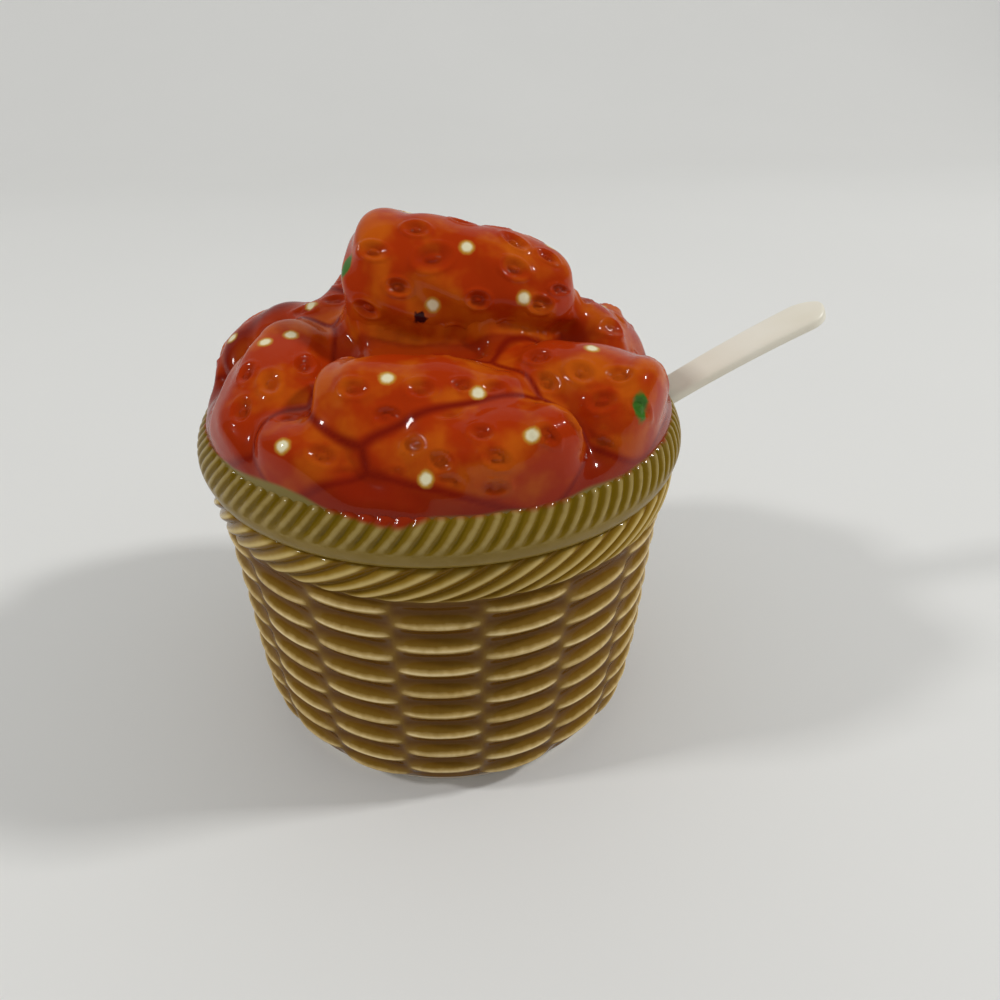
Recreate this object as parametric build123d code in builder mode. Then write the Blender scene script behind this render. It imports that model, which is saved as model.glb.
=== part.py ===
"""Covered jam pot: basket-weave pot, lid heaped with strawberries, berry knob and spoon."""

import os
from math import acos, atan2, cos, degrees, exp, hypot, radians, sin, sqrt
from typing import NamedTuple

from build123d import *

# Sizes are in millimetres and angles in degrees.
# The origin is the centre of the foot, +Z is up, and +X runs out through the spoon notch.

# Pot body: a basket whose wall swells above the foot and flares at the mouth
POT_HEIGHT = 57.0
FOOT_RADIUS = 37.8
FOOT_LIP = 2.0
BELLY_SWELL = 3.9
BELLY_RISE = 6.0
MOUTH_FLARE = 2.4
POT_WALL = 3.6
MOUTH_WALL = 4.6
FLOOR_THICKNESS = 5.0
INNER_CORNER = 8.0
LIP_ROUND = 1.5

# Weave: upright columns of strands that bulge in the middle and dive at both edges
WEAVE_COLUMNS = 18
WEAVE_ROWS = 9
STRAND_RISE = 1.5
STRAND_EDGE_SHARE = 0.45
PLAIN_LEVELS = 2

# Ropes: strands that lean round the mouth band and round the lid's rim
ROPE_DEPTH = 1.3

# Rope band that closes the weave below the seam
BAND_HEIGHT = 7.3
BAND_BULGE = 0.5
BAND_OVERHANG = 0.6
BAND_STRANDS = 50
BAND_TWIST = 18.0

# Lid: rope rim on the pot's mouth, locating flange, hollow dome
RIM_HEIGHT = 8.3
RIM_OVERHANG = 0.9
RIM_TOP_INSET = 1.1
RIM_BASE_INSET = 0.2
RIM_LIP = 1.7
RIM_ROPE_RISE = 0.7
RIM_STRANDS = 100
RIM_TWIST = 4.6
FLANGE_DEPTH = 3.5
FLANGE_WALL = 2.6
FLANGE_CLEARANCE = 0.6
SKIRT_INSET = 1.7
SKIRT_RISE = 3.0
DOME_SAG = 2.0
KNOB_SEAT_HEIGHT = 21.0
KNOB_SEAT_RADIUS = 18.0
LID_WALL = 5.5
HOLLOW_SHOULDER = 1.5

# Knob: one large berry lying on the heap, its tip towards +X
KNOB_LENGTH = 39.5
KNOB_RADIUS = 12.0
KNOB_REACH = 2.2
KNOB_SINK = 4.1
KNOB_HEADING = -11.6
KNOB_DIP = -3.0
KNOB_CLEARANCE = 0.3

# Spoon: straight shank through the notch, dished bowl inside, flatter handle end outside
SPOON_SLOPE = 30.0
SHANK_THICKNESS = 2.8
SHANK_WIDTH = 8.0
NECK_WIDTH = 4.2
NECK_THICKNESS = 1.2
NECK_TAPER = 11.0
HANDLE_LENGTH = 29.0
HANDLE_WIDTH = 9.4
HANDLE_DROOP = 6.0
BOWL_LENGTH = 31.0
BOWL_WIDTH = 22.0
BOWL_DEPTH = 5.0
BOWL_WALL = 1.6
SPOON_CLEARANCE = 0.4
NOTCH_SIDE = 1.6
NOTCH_HEADROOM = 0.7
NOTCH_ROUND = 1.5


class Berry(NamedTuple):
    """Place of a berry: bearing and reach of its middle, height over the seam, and its axis."""

    bearing: float
    reach: float
    height: float
    heading: float
    dip: float
    length: float
    radius: float


# The heap, front to back: angles turn from +X, a negative dip points the tip downwards
HEAP = [
    Berry(200, 30.5, 11.0, 72, 35, 33, 11.5),
    Berry(233, 35.2, 9.4, 348, 3, 22, 8.8),
    Berry(254, 24.4, 15.2, 352, 3, 34, 10.2),
    Berry(271.5, 33.6, 10.9, 163, 1, 34, 10.2),
    Berry(314, 29.8, 12.6, 156, 15, 31, 12.5),
    Berry(6, 29.9, 12.3, 48, -20, 30, 10.4),
    Berry(157, 26.0, 13.7, 178, -8, 28, 10.5),
    Berry(157, 33.8, 12.0, 188, -15, 24, 9.4),
    Berry(113, 23.0, 14.5, 88, -30, 32, 11.5),
    Berry(38, 26.2, 14.0, 68, -30, 32, 11.5),
    Berry(120, 34.7, 9.5, 188, -10, 26, 9.0),
    Berry(75, 34.1, 10.5, 353, -6, 30, 9.2),
    Berry(31, 36.8, 9.5, 138, -5, 28, 8.8),
]

# A berry's form: shares of its radius for the round of its cap end, its tip and the swell of its side
CAP_ROUND_SHARE = 0.62
TIP_SHARE = 0.67
SIDE_SWELL_SHARE = 0.07
BERRY_MIDDLE = 0.45

# Levels and radii that several pieces share
WEAVE_TOP = POT_HEIGHT - BAND_HEIGHT
ROW_PITCH = (WEAVE_TOP - FOOT_LIP) / WEAVE_ROWS


def wall_radius(height):
    """Outer radius of the basket at a height, measured over the strands."""
    swell = BELLY_SWELL * (1 - exp(-height / BELLY_RISE))
    flare = MOUTH_FLARE * (height / POT_HEIGHT) ** 3
    return FOOT_RADIUS + swell + flare


BAND_RADIUS = wall_radius(POT_HEIGHT)
RIM_RADIUS = BAND_RADIUS + RIM_OVERHANG
RIM_TOP_RADIUS = BAND_RADIUS - RIM_TOP_INSET
RIM_TOP = POT_HEIGHT + RIM_HEIGHT
MOUTH_RADIUS = BAND_RADIUS - MOUTH_WALL
INNER_FLOOR_RADIUS = wall_radius(FLOOR_THICKNESS + INNER_CORNER) - STRAND_RISE - POT_WALL
FLANGE_RADIUS = MOUTH_RADIUS - FLANGE_CLEARANCE
HOLLOW_RADIUS = FLANGE_RADIUS - FLANGE_WALL
KNOB_SEAT = POT_HEIGHT + KNOB_SEAT_HEIGHT


def polar_point(bearing, reach, height):
    """Point at a bearing and reach round the pot's axis."""
    return Vector(reach * cos(radians(bearing)), reach * sin(radians(bearing)), height)


def heading_vector(heading, dip):
    """Unit vector along a compass heading, tilted up or down."""
    level = cos(radians(dip))
    return Vector(level * cos(radians(heading)), level * sin(radians(heading)), sin(radians(dip)))


def berry_plane(middle, heading, dip, length):
    """Plane that holds a berry's axis as its X, with the cap end at its origin."""
    along = heading_vector(heading, dip)
    side = along.cross(Vector(0, 0, 1))
    return Plane(origin=middle - along * (BERRY_MIDDLE * length), x_dir=along, z_dir=side)


def add_berry(plane, length, radius, grow=0.0, mode=Mode.ADD):
    """Revolve a berry about its axis: flat cap, rounded shoulder, swelling side and ball tip.

    A clearance is the same berry grown all round.
    """
    shoulder = CAP_ROUND_SHARE * radius + grow
    tip = TIP_SHARE * radius + grow
    flat = radius + grow - shoulder
    shoulder_centre = (shoulder - grow, flat)
    tip_centre = (length + grow - tip, 0)
    run = tip_centre[0] - shoulder_centre[0]
    slant = degrees(acos((shoulder - tip) / hypot(run, flat)) - atan2(flat, run))
    with BuildSketch(plane) as outline:
        with BuildLine():
            Line((-grow, 0), (-grow, flat))
            corner = CenterArc(shoulder_centre, shoulder, 180, slant - 180)
            end = CenterArc(tip_centre, tip, slant, -slant)
            swell = polar_point(slant, SIDE_SWELL_SHARE * radius, 0)
            ThreePointArc(corner @ 1, (corner @ 1 + end @ 0) / 2 + swell, end @ 0)
            Line((length + grow, 0), (-grow, 0))
        make_face()
    revolve(outline.sketch, axis=Axis(plane.origin, plane.x_dir), mode=mode)


knob_middle = polar_point(KNOB_HEADING, KNOB_REACH, KNOB_SEAT + KNOB_RADIUS - KNOB_SINK)
KNOB_PLANE = berry_plane(knob_middle, KNOB_HEADING, KNOB_DIP, KNOB_LENGTH)


def weave_section(level):
    """Outline of the basket half a row further up with each level, where every other column bulges.

    The lowest levels are plainer, so that the foot is round.
    """
    height = FOOT_LIP + level * ROW_PITCH / 2
    rise = STRAND_RISE * min((level + 1) / (PLAIN_LEVELS + 1), 1.0)
    valley = wall_radius(height) - STRAND_RISE
    edge = valley + STRAND_EDGE_SHARE * rise
    half_turn = 180 / WEAVE_COLUMNS
    with BuildSketch(Plane.XY.offset(height)) as section:
        with BuildLine():
            for column in range(WEAVE_COLUMNS):
                bearing = column * 2 * half_turn
                crest = rise if (column + level) % 2 == 1 else 0.0
                ThreePointArc(
                    polar_point(bearing - half_turn, edge, 0),
                    polar_point(bearing, valley + crest, 0),
                    polar_point(bearing + half_turn, edge, 0),
                )
        make_face()
    return section.sketch


def rope_ring(foot, height, radius, strands, twist):
    """Twisted prism whose zigzag outline makes the strands of a rope."""
    pitch = 360 / strands
    crests = [polar_point(pitch * strand, radius, foot) for strand in range(strands)]
    grooves = [polar_point(pitch * (strand + 0.5), radius - ROPE_DEPTH, foot) for strand in range(strands)]
    outline = Wire.make_polygon([corner for pair in zip(crests, grooves) for corner in pair], close=True)
    return Solid.extrude_linear_with_rotation(outline, (0, 0, foot), (0, 0, height), twist)


# Pot: woven wall lofted through alternating sections, rope band on top, hollow with a rounded mouth
lip_centre = (MOUTH_RADIUS + LIP_ROUND, POT_HEIGHT - LIP_ROUND)
corner_centre = (INNER_FLOOR_RADIUS - INNER_CORNER, FLOOR_THICKNESS + INNER_CORNER)

woven = [weave_section(level) for level in range(2 * WEAVE_ROWS + 1)]

with BuildPart() as band:
    band_foot = (wall_radius(WEAVE_TOP) + BAND_OVERHANG, WEAVE_TOP)
    band_middle = (BAND_RADIUS + BAND_BULGE, WEAVE_TOP + BAND_HEIGHT / 2)
    add(rope_ring(WEAVE_TOP, BAND_HEIGHT, band_middle[0], BAND_STRANDS, BAND_TWIST))
    with BuildSketch(Plane.XZ):
        with BuildLine():
            ThreePointArc(band_foot, band_middle, (BAND_RADIUS, POT_HEIGHT))
            Polyline((BAND_RADIUS, POT_HEIGHT), (0, POT_HEIGHT), (0, WEAVE_TOP), band_foot)
        make_face()
    revolve(axis=Axis.Z, mode=Mode.INTERSECT)

with BuildPart() as pot:
    with BuildSketch():
        Circle(wall_radius(0) - STRAND_RISE)
    extrude(amount=FOOT_LIP)
    loft(woven, ruled=True)
    add(band.part)
    with BuildSketch(Plane.XZ):
        with BuildLine():
            Line((0, FLOOR_THICKNESS), (corner_centre[0], FLOOR_THICKNESS))
            CenterArc(corner_centre, INNER_CORNER, -90, 90)
            Line((INNER_FLOOR_RADIUS, corner_centre[1]), (MOUTH_RADIUS, lip_centre[1]))
            CenterArc(lip_centre, LIP_ROUND, 180, -90)
            Polyline((lip_centre[0], POT_HEIGHT), (0, POT_HEIGHT), (0, FLOOR_THICKNESS))
        make_face()
    revolve(axis=Axis.Z, mode=Mode.SUBTRACT)

# The spoon's line: its shank lies just clear of the rounded mouth, its bowl just clear of the corner
slope_cos = cos(radians(SPOON_SLOPE))
slope_sin = sin(radians(SPOON_SLOPE))
rest_gap = LIP_ROUND + SPOON_CLEARANCE + SHANK_THICKNESS / 2
rest_point = (lip_centre[0] - slope_sin * rest_gap, lip_centre[1] + slope_cos * rest_gap)


def shank_point(run):
    """Point on the shank's middle line, a run outwards from where it rests on the mouth."""
    return (rest_point[0] + run * slope_cos, rest_point[1] + run * slope_sin)


tip_room = INNER_CORNER - SPOON_CLEARANCE - BOWL_WALL
to_corner = (-corner_centre[0] - rest_point[0], corner_centre[1] - rest_point[1])
run_to_corner = to_corner[0] * slope_cos + to_corner[1] * slope_sin
off_corner = to_corner[1] * slope_cos - to_corner[0] * slope_sin
tip_run = run_to_corner - sqrt(max(tip_room**2 - off_corner**2, 0.0))
notch_outer_run = (RIM_RADIUS - rest_point[0]) / slope_cos
notch_half = SHANK_WIDTH / 2 + NOTCH_SIDE
shank_top = shank_point(notch_outer_run)[1] + SHANK_THICKNESS / 2 / slope_cos
notch_top = shank_top + NOTCH_HEADROOM

# Lid: heap of berries on a hollow dome with a rope rim, cut by the spoon notch
skirt_foot = RIM_TOP_RADIUS - RIM_TOP_INSET / 2
skirt_top = (RIM_TOP_RADIUS - SKIRT_INSET, RIM_TOP + SKIRT_RISE)
dome_middle = ((skirt_top[0] + KNOB_SEAT_RADIUS) / 2, (skirt_top[1] + KNOB_SEAT) / 2 - DOME_SAG)

heap_radius = (RIM_TOP_RADIUS + skirt_foot) / 2


def heap_berry(berry):
    """One berry of the heap, trimmed to stand inside the rim and clear of the knob."""
    middle = polar_point(berry.bearing, berry.reach, POT_HEIGHT + berry.height)
    with BuildPart() as fruit:
        add_berry(berry_plane(middle, berry.heading, berry.dip, berry.length), berry.length, berry.radius)
        with BuildSketch(Plane.XY.offset(POT_HEIGHT + RIM_HEIGHT / 2)):
            Circle(heap_radius)
        extrude(amount=KNOB_SEAT_HEIGHT + KNOB_RADIUS, mode=Mode.INTERSECT)
        add_berry(KNOB_PLANE, KNOB_LENGTH, KNOB_RADIUS, grow=KNOB_CLEARANCE, mode=Mode.SUBTRACT)
    return fruit.part


heap = [heap_berry(berry) for berry in HEAP]

rim_foot = (BAND_RADIUS - RIM_BASE_INSET, POT_HEIGHT)
rim_middle = POT_HEIGHT + RIM_HEIGHT / 2

with BuildPart() as rim_rope:
    add(rope_ring(POT_HEIGHT + RIM_LIP, RIM_HEIGHT - RIM_LIP, RIM_RADIUS, RIM_STRANDS, RIM_TWIST))
    with BuildSketch(Plane.XZ):
        with BuildLine():
            ThreePointArc(rim_foot, (RIM_RADIUS, rim_middle), (RIM_TOP_RADIUS, RIM_TOP))
            Polyline((RIM_TOP_RADIUS, RIM_TOP), (0, RIM_TOP), (0, POT_HEIGHT), rim_foot)
        make_face()
    revolve(axis=Axis.Z, mode=Mode.INTERSECT)

with BuildPart() as lid:
    with BuildSketch(Plane.XZ):
        with BuildLine():
            Polyline((0, KNOB_SEAT), (0, POT_HEIGHT), rim_foot)
            ThreePointArc(rim_foot, (RIM_RADIUS - RIM_ROPE_RISE, rim_middle), (skirt_foot, RIM_TOP))
            Line((skirt_foot, RIM_TOP), skirt_top)
            ThreePointArc(skirt_top, dome_middle, (KNOB_SEAT_RADIUS, KNOB_SEAT))
            Line((KNOB_SEAT_RADIUS, KNOB_SEAT), (0, KNOB_SEAT))
        make_face()
    revolve(axis=Axis.Z)
    add(rim_rope.part)
    for fruit in heap:
        add(fruit)
    with BuildSketch(Plane.XY.offset(POT_HEIGHT)):
        Circle(FLANGE_RADIUS)
    extrude(amount=-FLANGE_DEPTH)
    with BuildSketch(Plane.XZ):
        hollow_foot = (HOLLOW_RADIUS, POT_HEIGHT - FLANGE_DEPTH)
        hollow_side = (HOLLOW_RADIUS, POT_HEIGHT + FLANGE_WALL)
        hollow_top = (KNOB_SEAT_RADIUS, KNOB_SEAT - LID_WALL)
        hollow_rise = (hollow_side[1] + hollow_top[1]) / 2 + HOLLOW_SHOULDER
        hollow_middle = ((HOLLOW_RADIUS + KNOB_SEAT_RADIUS) / 2, hollow_rise)
        with BuildLine():
            Polyline(hollow_top, (0, hollow_top[1]), (0, hollow_foot[1]), hollow_foot, hollow_side)
            ThreePointArc(hollow_side, hollow_middle, hollow_top)
        make_face()
    revolve(axis=Axis.Z, mode=Mode.SUBTRACT)
    with BuildSketch(Plane.YZ.offset(HOLLOW_RADIUS - FLANGE_WALL)) as notch:
        notch_foot = POT_HEIGHT - FLANGE_DEPTH
        with Locations((0, (notch_foot + notch_top) / 2)):
            Rectangle(2 * notch_half, notch_top - notch_foot)
        fillet(notch.vertices().sort_by(Axis.Z)[-2:], NOTCH_ROUND)
    extrude(amount=RIM_RADIUS, mode=Mode.SUBTRACT)

# Knob: the berry cut flat where it is luted to its seat on the lid
with BuildPart() as berry_knob:
    add_berry(KNOB_PLANE, KNOB_LENGTH, KNOB_RADIUS)
    split(bisect_by=Plane.XY.offset(KNOB_SEAT), keep=Keep.TOP)

# Spoon: a dish for the bowl, then a lofted shank that leans out of the notch
bowl_middle_run = tip_run + BOWL_LENGTH / 2
bowl_rim = Vector(shank_point(bowl_middle_run)[0], 0, shank_point(bowl_middle_run)[1])
along = Vector(slope_cos, 0, slope_sin)
upward = Vector(-slope_sin, 0, slope_cos)
bowl_rim_centre = bowl_rim + upward * (SHANK_THICKNESS / 2)
dish_radius = ((BOWL_WIDTH / 2) ** 2 + BOWL_DEPTH**2) / (2 * BOWL_DEPTH)
dish_axis = Axis(bowl_rim_centre + upward * (dish_radius - BOWL_DEPTH), along)
bowl_plane = Plane(origin=bowl_rim_centre, x_dir=along, z_dir=along.cross(upward))
rim_plane = Plane(origin=bowl_rim_centre, x_dir=along, z_dir=upward)
bend_run = notch_outer_run + NOTCH_SIDE
handle_bend = HANDLE_LENGTH / radians(HANDLE_DROOP)


def add_dish(inset, mode=Mode.ADD):
    """Revolve the bowl's long arc about the axis over its rim, moved inwards by an inset."""
    half = BOWL_LENGTH / 2 - inset
    with BuildSketch(bowl_plane) as dish:
        with BuildLine():
            ThreePointArc((-half, 0), (0, inset - BOWL_DEPTH), (half, 0))
            Line((half, 0), (-half, 0))
        make_face()
    revolve(dish.sketch, axis=dish_axis, mode=mode)


def handle_plane(run, thickness):
    """Plane square to the shank at a run, straight to the bend and drooping beyond it."""
    droop = radians(HANDLE_DROOP) * max(run - bend_run, 0.0) / HANDLE_LENGTH
    bend_x, bend_z = shank_point(min(run, bend_run))
    lean = radians(SPOON_SLOPE)
    reach_x = handle_bend * (sin(lean) - sin(lean - droop))
    reach_z = handle_bend * (cos(lean - droop) - cos(lean))
    forward = Vector(cos(lean - droop), 0, sin(lean - droop))
    over = Vector(-sin(lean - droop), 0, cos(lean - droop))
    centre = Vector(bend_x + reach_x, 0, bend_z + reach_z)
    drop = (SHANK_THICKNESS - thickness) / 2
    return Plane(origin=centre + over * drop, x_dir=(0, 1, 0), z_dir=forward)


def handle_section(run, width, thickness):
    """Section of the shank or the handle at a run."""
    with BuildSketch(handle_plane(run, thickness)) as section:
        Rectangle(width, thickness)
    return section.sketch


neck_run = tip_run + BOWL_LENGTH - BOWL_WALL
end_run = bend_run + HANDLE_LENGTH
bend_section = handle_section(bend_run, SHANK_WIDTH, SHANK_THICKNESS)
shank_sections = [
    handle_section(neck_run, NECK_WIDTH, NECK_THICKNESS),
    handle_section(neck_run + NECK_TAPER, NECK_WIDTH, SHANK_THICKNESS),
    bend_section,
]
handle_sections = [
    bend_section,
    handle_section((bend_run + end_run) / 2, (SHANK_WIDTH + HANDLE_WIDTH) / 2, SHANK_THICKNESS),
    handle_section(end_run, HANDLE_WIDTH, SHANK_THICKNESS),
]

with BuildPart() as spoon:
    add_dish(inset=0.0)
    add_dish(inset=BOWL_WALL, mode=Mode.SUBTRACT)
    split(bisect_by=rim_plane, keep=Keep.BOTTOM)
    loft(shank_sections, ruled=True)
    loft(handle_sections)
    end_plane = handle_plane(end_run, SHANK_THICKNESS)
    end_top = Plane(origin=end_plane.origin, x_dir=end_plane.z_dir, z_dir=end_plane.y_dir)
    with BuildSketch(end_top.offset(-SHANK_THICKNESS / 2)):
        Circle(HANDLE_WIDTH / 2)
    extrude(amount=SHANK_THICKNESS)

PIECES = {"pot": pot, "lid": lid, "berry_knob": berry_knob, "spoon": spoon}

os.makedirs("parts", exist_ok=True)
for name, piece in PIECES.items():
    piece.part.label = name
    export_step(piece.part, f"parts/{name}.step")
    print(name, len(piece.part.solids()), "solid", round(piece.part.volume, 1), "mm3")
print("spoon tip at run", round(tip_run, 2), "and handle end at", round(end_run, 2))
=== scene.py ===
# %% [markdown]
# # A strawberry jam pot
# This lesson dresses a small covered jam pot in glazed earthenware. The pot is moulded like a
# basket, the lid is a heap of strawberries with one large berry for a knob, and a white plastic
# spoon leans out through a notch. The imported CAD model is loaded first. It fixes every size and
# every joint, and each piece made below takes the place of one CAD node.

# %% Load the frame
import math
from typing import NamedTuple

import bpy
import numpy as np
from mathutils import Matrix, Vector
from mathutils.bvhtree import BVHTree


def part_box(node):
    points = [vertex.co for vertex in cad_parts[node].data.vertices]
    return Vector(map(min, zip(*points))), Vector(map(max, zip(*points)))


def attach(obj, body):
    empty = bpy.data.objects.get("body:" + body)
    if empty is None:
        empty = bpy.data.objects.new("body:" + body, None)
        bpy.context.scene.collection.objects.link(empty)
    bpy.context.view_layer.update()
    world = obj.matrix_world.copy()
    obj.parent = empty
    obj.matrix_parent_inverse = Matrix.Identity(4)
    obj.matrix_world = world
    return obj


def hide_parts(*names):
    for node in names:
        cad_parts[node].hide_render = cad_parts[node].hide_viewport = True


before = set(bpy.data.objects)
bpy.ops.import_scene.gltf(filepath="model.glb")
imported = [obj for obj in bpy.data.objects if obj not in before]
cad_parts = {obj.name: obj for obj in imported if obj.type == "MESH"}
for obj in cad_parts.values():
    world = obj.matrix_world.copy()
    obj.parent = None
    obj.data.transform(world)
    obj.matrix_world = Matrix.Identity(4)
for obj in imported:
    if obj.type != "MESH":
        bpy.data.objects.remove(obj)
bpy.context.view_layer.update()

print("CAD nodes:", ", ".join(sorted(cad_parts)))

# %% [markdown]
# ## Sizes
# Blender works in metres here, but a potter thinks in millimetres, so the sizes below are in
# millimetres and a mesh is scaled by `MM` as it is made. Levels that the CAD model already holds
# are read from its boxes, so the pieces meet where the solids meet.

# %% Sizes that several pieces share
MM = 0.001
POT_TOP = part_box("pot")[1].z / MM
LID_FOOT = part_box("lid")[0].z / MM
KNOB_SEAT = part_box("berry_knob")[0].z / MM
FOOT_RADIUS = 37.8
BELLY_SWELL = 3.9
BELLY_RISE = 6.0
MOUTH_FLARE = 2.4
BAND_HEIGHT = 7.3
RIM_HEIGHT = 8.3
MOUTH_RADIUS = 39.5
FLANGE_RADIUS = 38.9
HOLLOW_RADIUS = 36.3
RIM_TOP = POT_TOP + RIM_HEIGHT
WEAVE_TOP = POT_TOP - BAND_HEIGHT


def wall_radius(height):
    """Outer radius of the basket at a height, measured over the strands."""
    swell = BELLY_SWELL * (1 - np.exp(-height / BELLY_RISE))
    return FOOT_RADIUS + swell + MOUTH_FLARE * (height / POT_TOP) ** 3


BAND_RADIUS = wall_radius(POT_TOP)
print(f"pot {POT_TOP:.1f} mm high, mouth band radius {BAND_RADIUS:.1f} mm")

# %% [markdown]
# ## One class for node maths
# Both the Geometry Nodes trees and the materials are long sums. Writing them as Python expressions
# keeps them readable: `Wire` holds one socket, its operators add Math nodes, and `node` adds any
# other node from its type, its settings and its socket values.

# %% Wires between nodes


class Wire:
    """One socket of a node tree. Arithmetic on it adds Math nodes to the tree."""

    def __init__(self, tree, socket=None):
        self.tree = tree
        self.socket = socket

    def node(self, kind, settings=None, sockets=None, out=0):
        """Add a node: its settings come first, then its socket values or links."""
        made = self.tree.nodes.new(kind)
        for name, value in (settings or {}).items():
            if name == "stops":
                fill_ramp(made.color_ramp, value)
            else:
                setattr(made, name, value)
        for name, value in (sockets or {}).items():
            if isinstance(value, Wire):
                self.tree.links.new(value.socket, made.inputs[name])
            else:
                made.inputs[name].default_value = value
        return Wire(self.tree, made.outputs[out])

    def other(self, out):
        """Another output of the node that this wire comes from."""
        return Wire(self.tree, self.socket.node.outputs[out])

    def maths(self, operation, *values):
        """A Math node on some values and wires."""
        return self.node("ShaderNodeMath", {"operation": operation}, dict(enumerate(values)))

    def of(self, operation, *values):
        """A Math node that takes this wire first."""
        return self.maths(operation, self, *values)

    def __add__(self, value):
        return self.maths("ADD", self, value)

    def __sub__(self, value):
        return self.maths("SUBTRACT", self, value)

    def __rsub__(self, value):
        return self.maths("SUBTRACT", value, self)

    def __mul__(self, value):
        return self.maths("MULTIPLY", self, value)

    def __truediv__(self, value):
        return self.maths("DIVIDE", self, value)

    def __pow__(self, value):
        return self.maths("POWER", self, value)

    def __abs__(self):
        return self.maths("ABSOLUTE", self)

    __radd__ = __add__
    __rmul__ = __mul__

    def ease(self, low, high):
        """Smooth step of this value, 0 at the low level and 1 at the high one."""
        step = {"interpolation_type": "SMOOTHSTEP"}
        span = {"Value": self, "From Min": low, "From Max": high}
        return self.node("ShaderNodeMapRange", step, span)

    def ramp(self, *stops):
        """Colour ramp driven by this value, each stop a place and a colour."""
        return self.node("ShaderNodeValToRGB", {"stops": stops}, {"Fac": self})

    def mix(self, first, second):
        """Blend two colours, which are a Mix node's inputs 6 and 7, by this value."""
        sockets = {"Factor": self, 6: paint(first), 7: paint(second)}
        return self.node("ShaderNodeMix", {"data_type": "RGBA"}, sockets, out=2)


def fill_ramp(ramp, stops):
    """Give a colour ramp its stops."""
    while len(ramp.elements) < len(stops):
        ramp.elements.new(1.0)
    for element, (place, colour) in zip(ramp.elements, stops):
        element.position = place
        element.color = paint(colour)


def paint(colour):
    """A colour named by its 0 to 255 screen values, as the linear colour that Blender mixes."""
    if isinstance(colour, Wire):
        return colour
    share = [value / 255 for value in colour]
    linear = [c / 12.92 if c <= 0.04045 else ((c + 0.055) / 1.055) ** 2.4 for c in share]
    return (*linear, 1.0)


def new_material(name):
    """An empty material, its shader node and a wire to start from."""
    material = bpy.data.materials.new(name)
    material.use_nodes = True
    shader = material.node_tree.nodes["Principled BSDF"]
    return material, shader, Wire(material.node_tree)


def feed(shader, **sockets):
    """Set or link the shader's sockets, with underscores for the spaces in their names."""
    for name, value in sockets.items():
        socket = shader.inputs[name.replace("_", " ")]
        if isinstance(value, Wire):
            value.tree.links.new(value.socket, socket)
        else:
            socket.default_value = value


def attribute(start, name):
    """A value stored on the mesh."""
    return start.node("ShaderNodeAttribute", {"attribute_name": name}, out="Fac")


def noise(start, scale, detail=2.0, vector=None):
    """Noise over the piece, its grain about 1 / scale metres wide."""
    where = vector or start.node("ShaderNodeTexCoord", out="Object")
    return start.node("ShaderNodeTexNoise", {}, {"Vector": where, "Scale": scale, "Detail": detail})


print("wire maths ready")

# %% [markdown]
# ## Turning a profile with Geometry Nodes
# A potter turns a round piece from its profile, and a mould then adds the relief. The tree below
# does both. The object holds only the profile, as a row of points with a few values on each. The
# tree wraps a grid round the axis, reads the profile row by row, and lifts the surface by a rule:
# woven strands that bulge in the middle of each column, or the strands of a rope. The grid is
# twisted with the rope, so that its lines run along the strands and keep them crisp.

# %% The turning tree
TURN_INPUTS = {
    "Around": "NodeSocketInt",
    "Profile Points": "NodeSocketInt",
    "Columns": "NodeSocketFloat",
    "Weave Foot": "NodeSocketFloat",
    "Row Pitch": "NodeSocketFloat",
    "Strand Rise": "NodeSocketFloat",
    "Rope Strands": "NodeSocketFloat",
    "Rope Rise": "NodeSocketFloat",
    "Rope Wash": "NodeSocketFloat",
    "Plain Glaze": "NodeSocketFloat",
    "Material": "NodeSocketMaterial",
}
MERGE_DISTANCE = 1e-6
HUMP_POWER = 1.25
RIDGE_POWER = 1.7
BOW_REACH = 2.8
EDGE_RISE = 0.45
GLAZE_UNDER = 0.34
GLAZE_OVER = 0.95
GLAZE_REACH = 12.0
EDGE_GLAZE = 0.42
# Glaze level of the pot's plain stretches. It turns the ends of the band and the weave dark brown,
# which at the band's top is painted shade of the seam under the lid.
SEAM_SHADE_GLAZE = 0.1
LIP_GLAZE = 0.78


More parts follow.
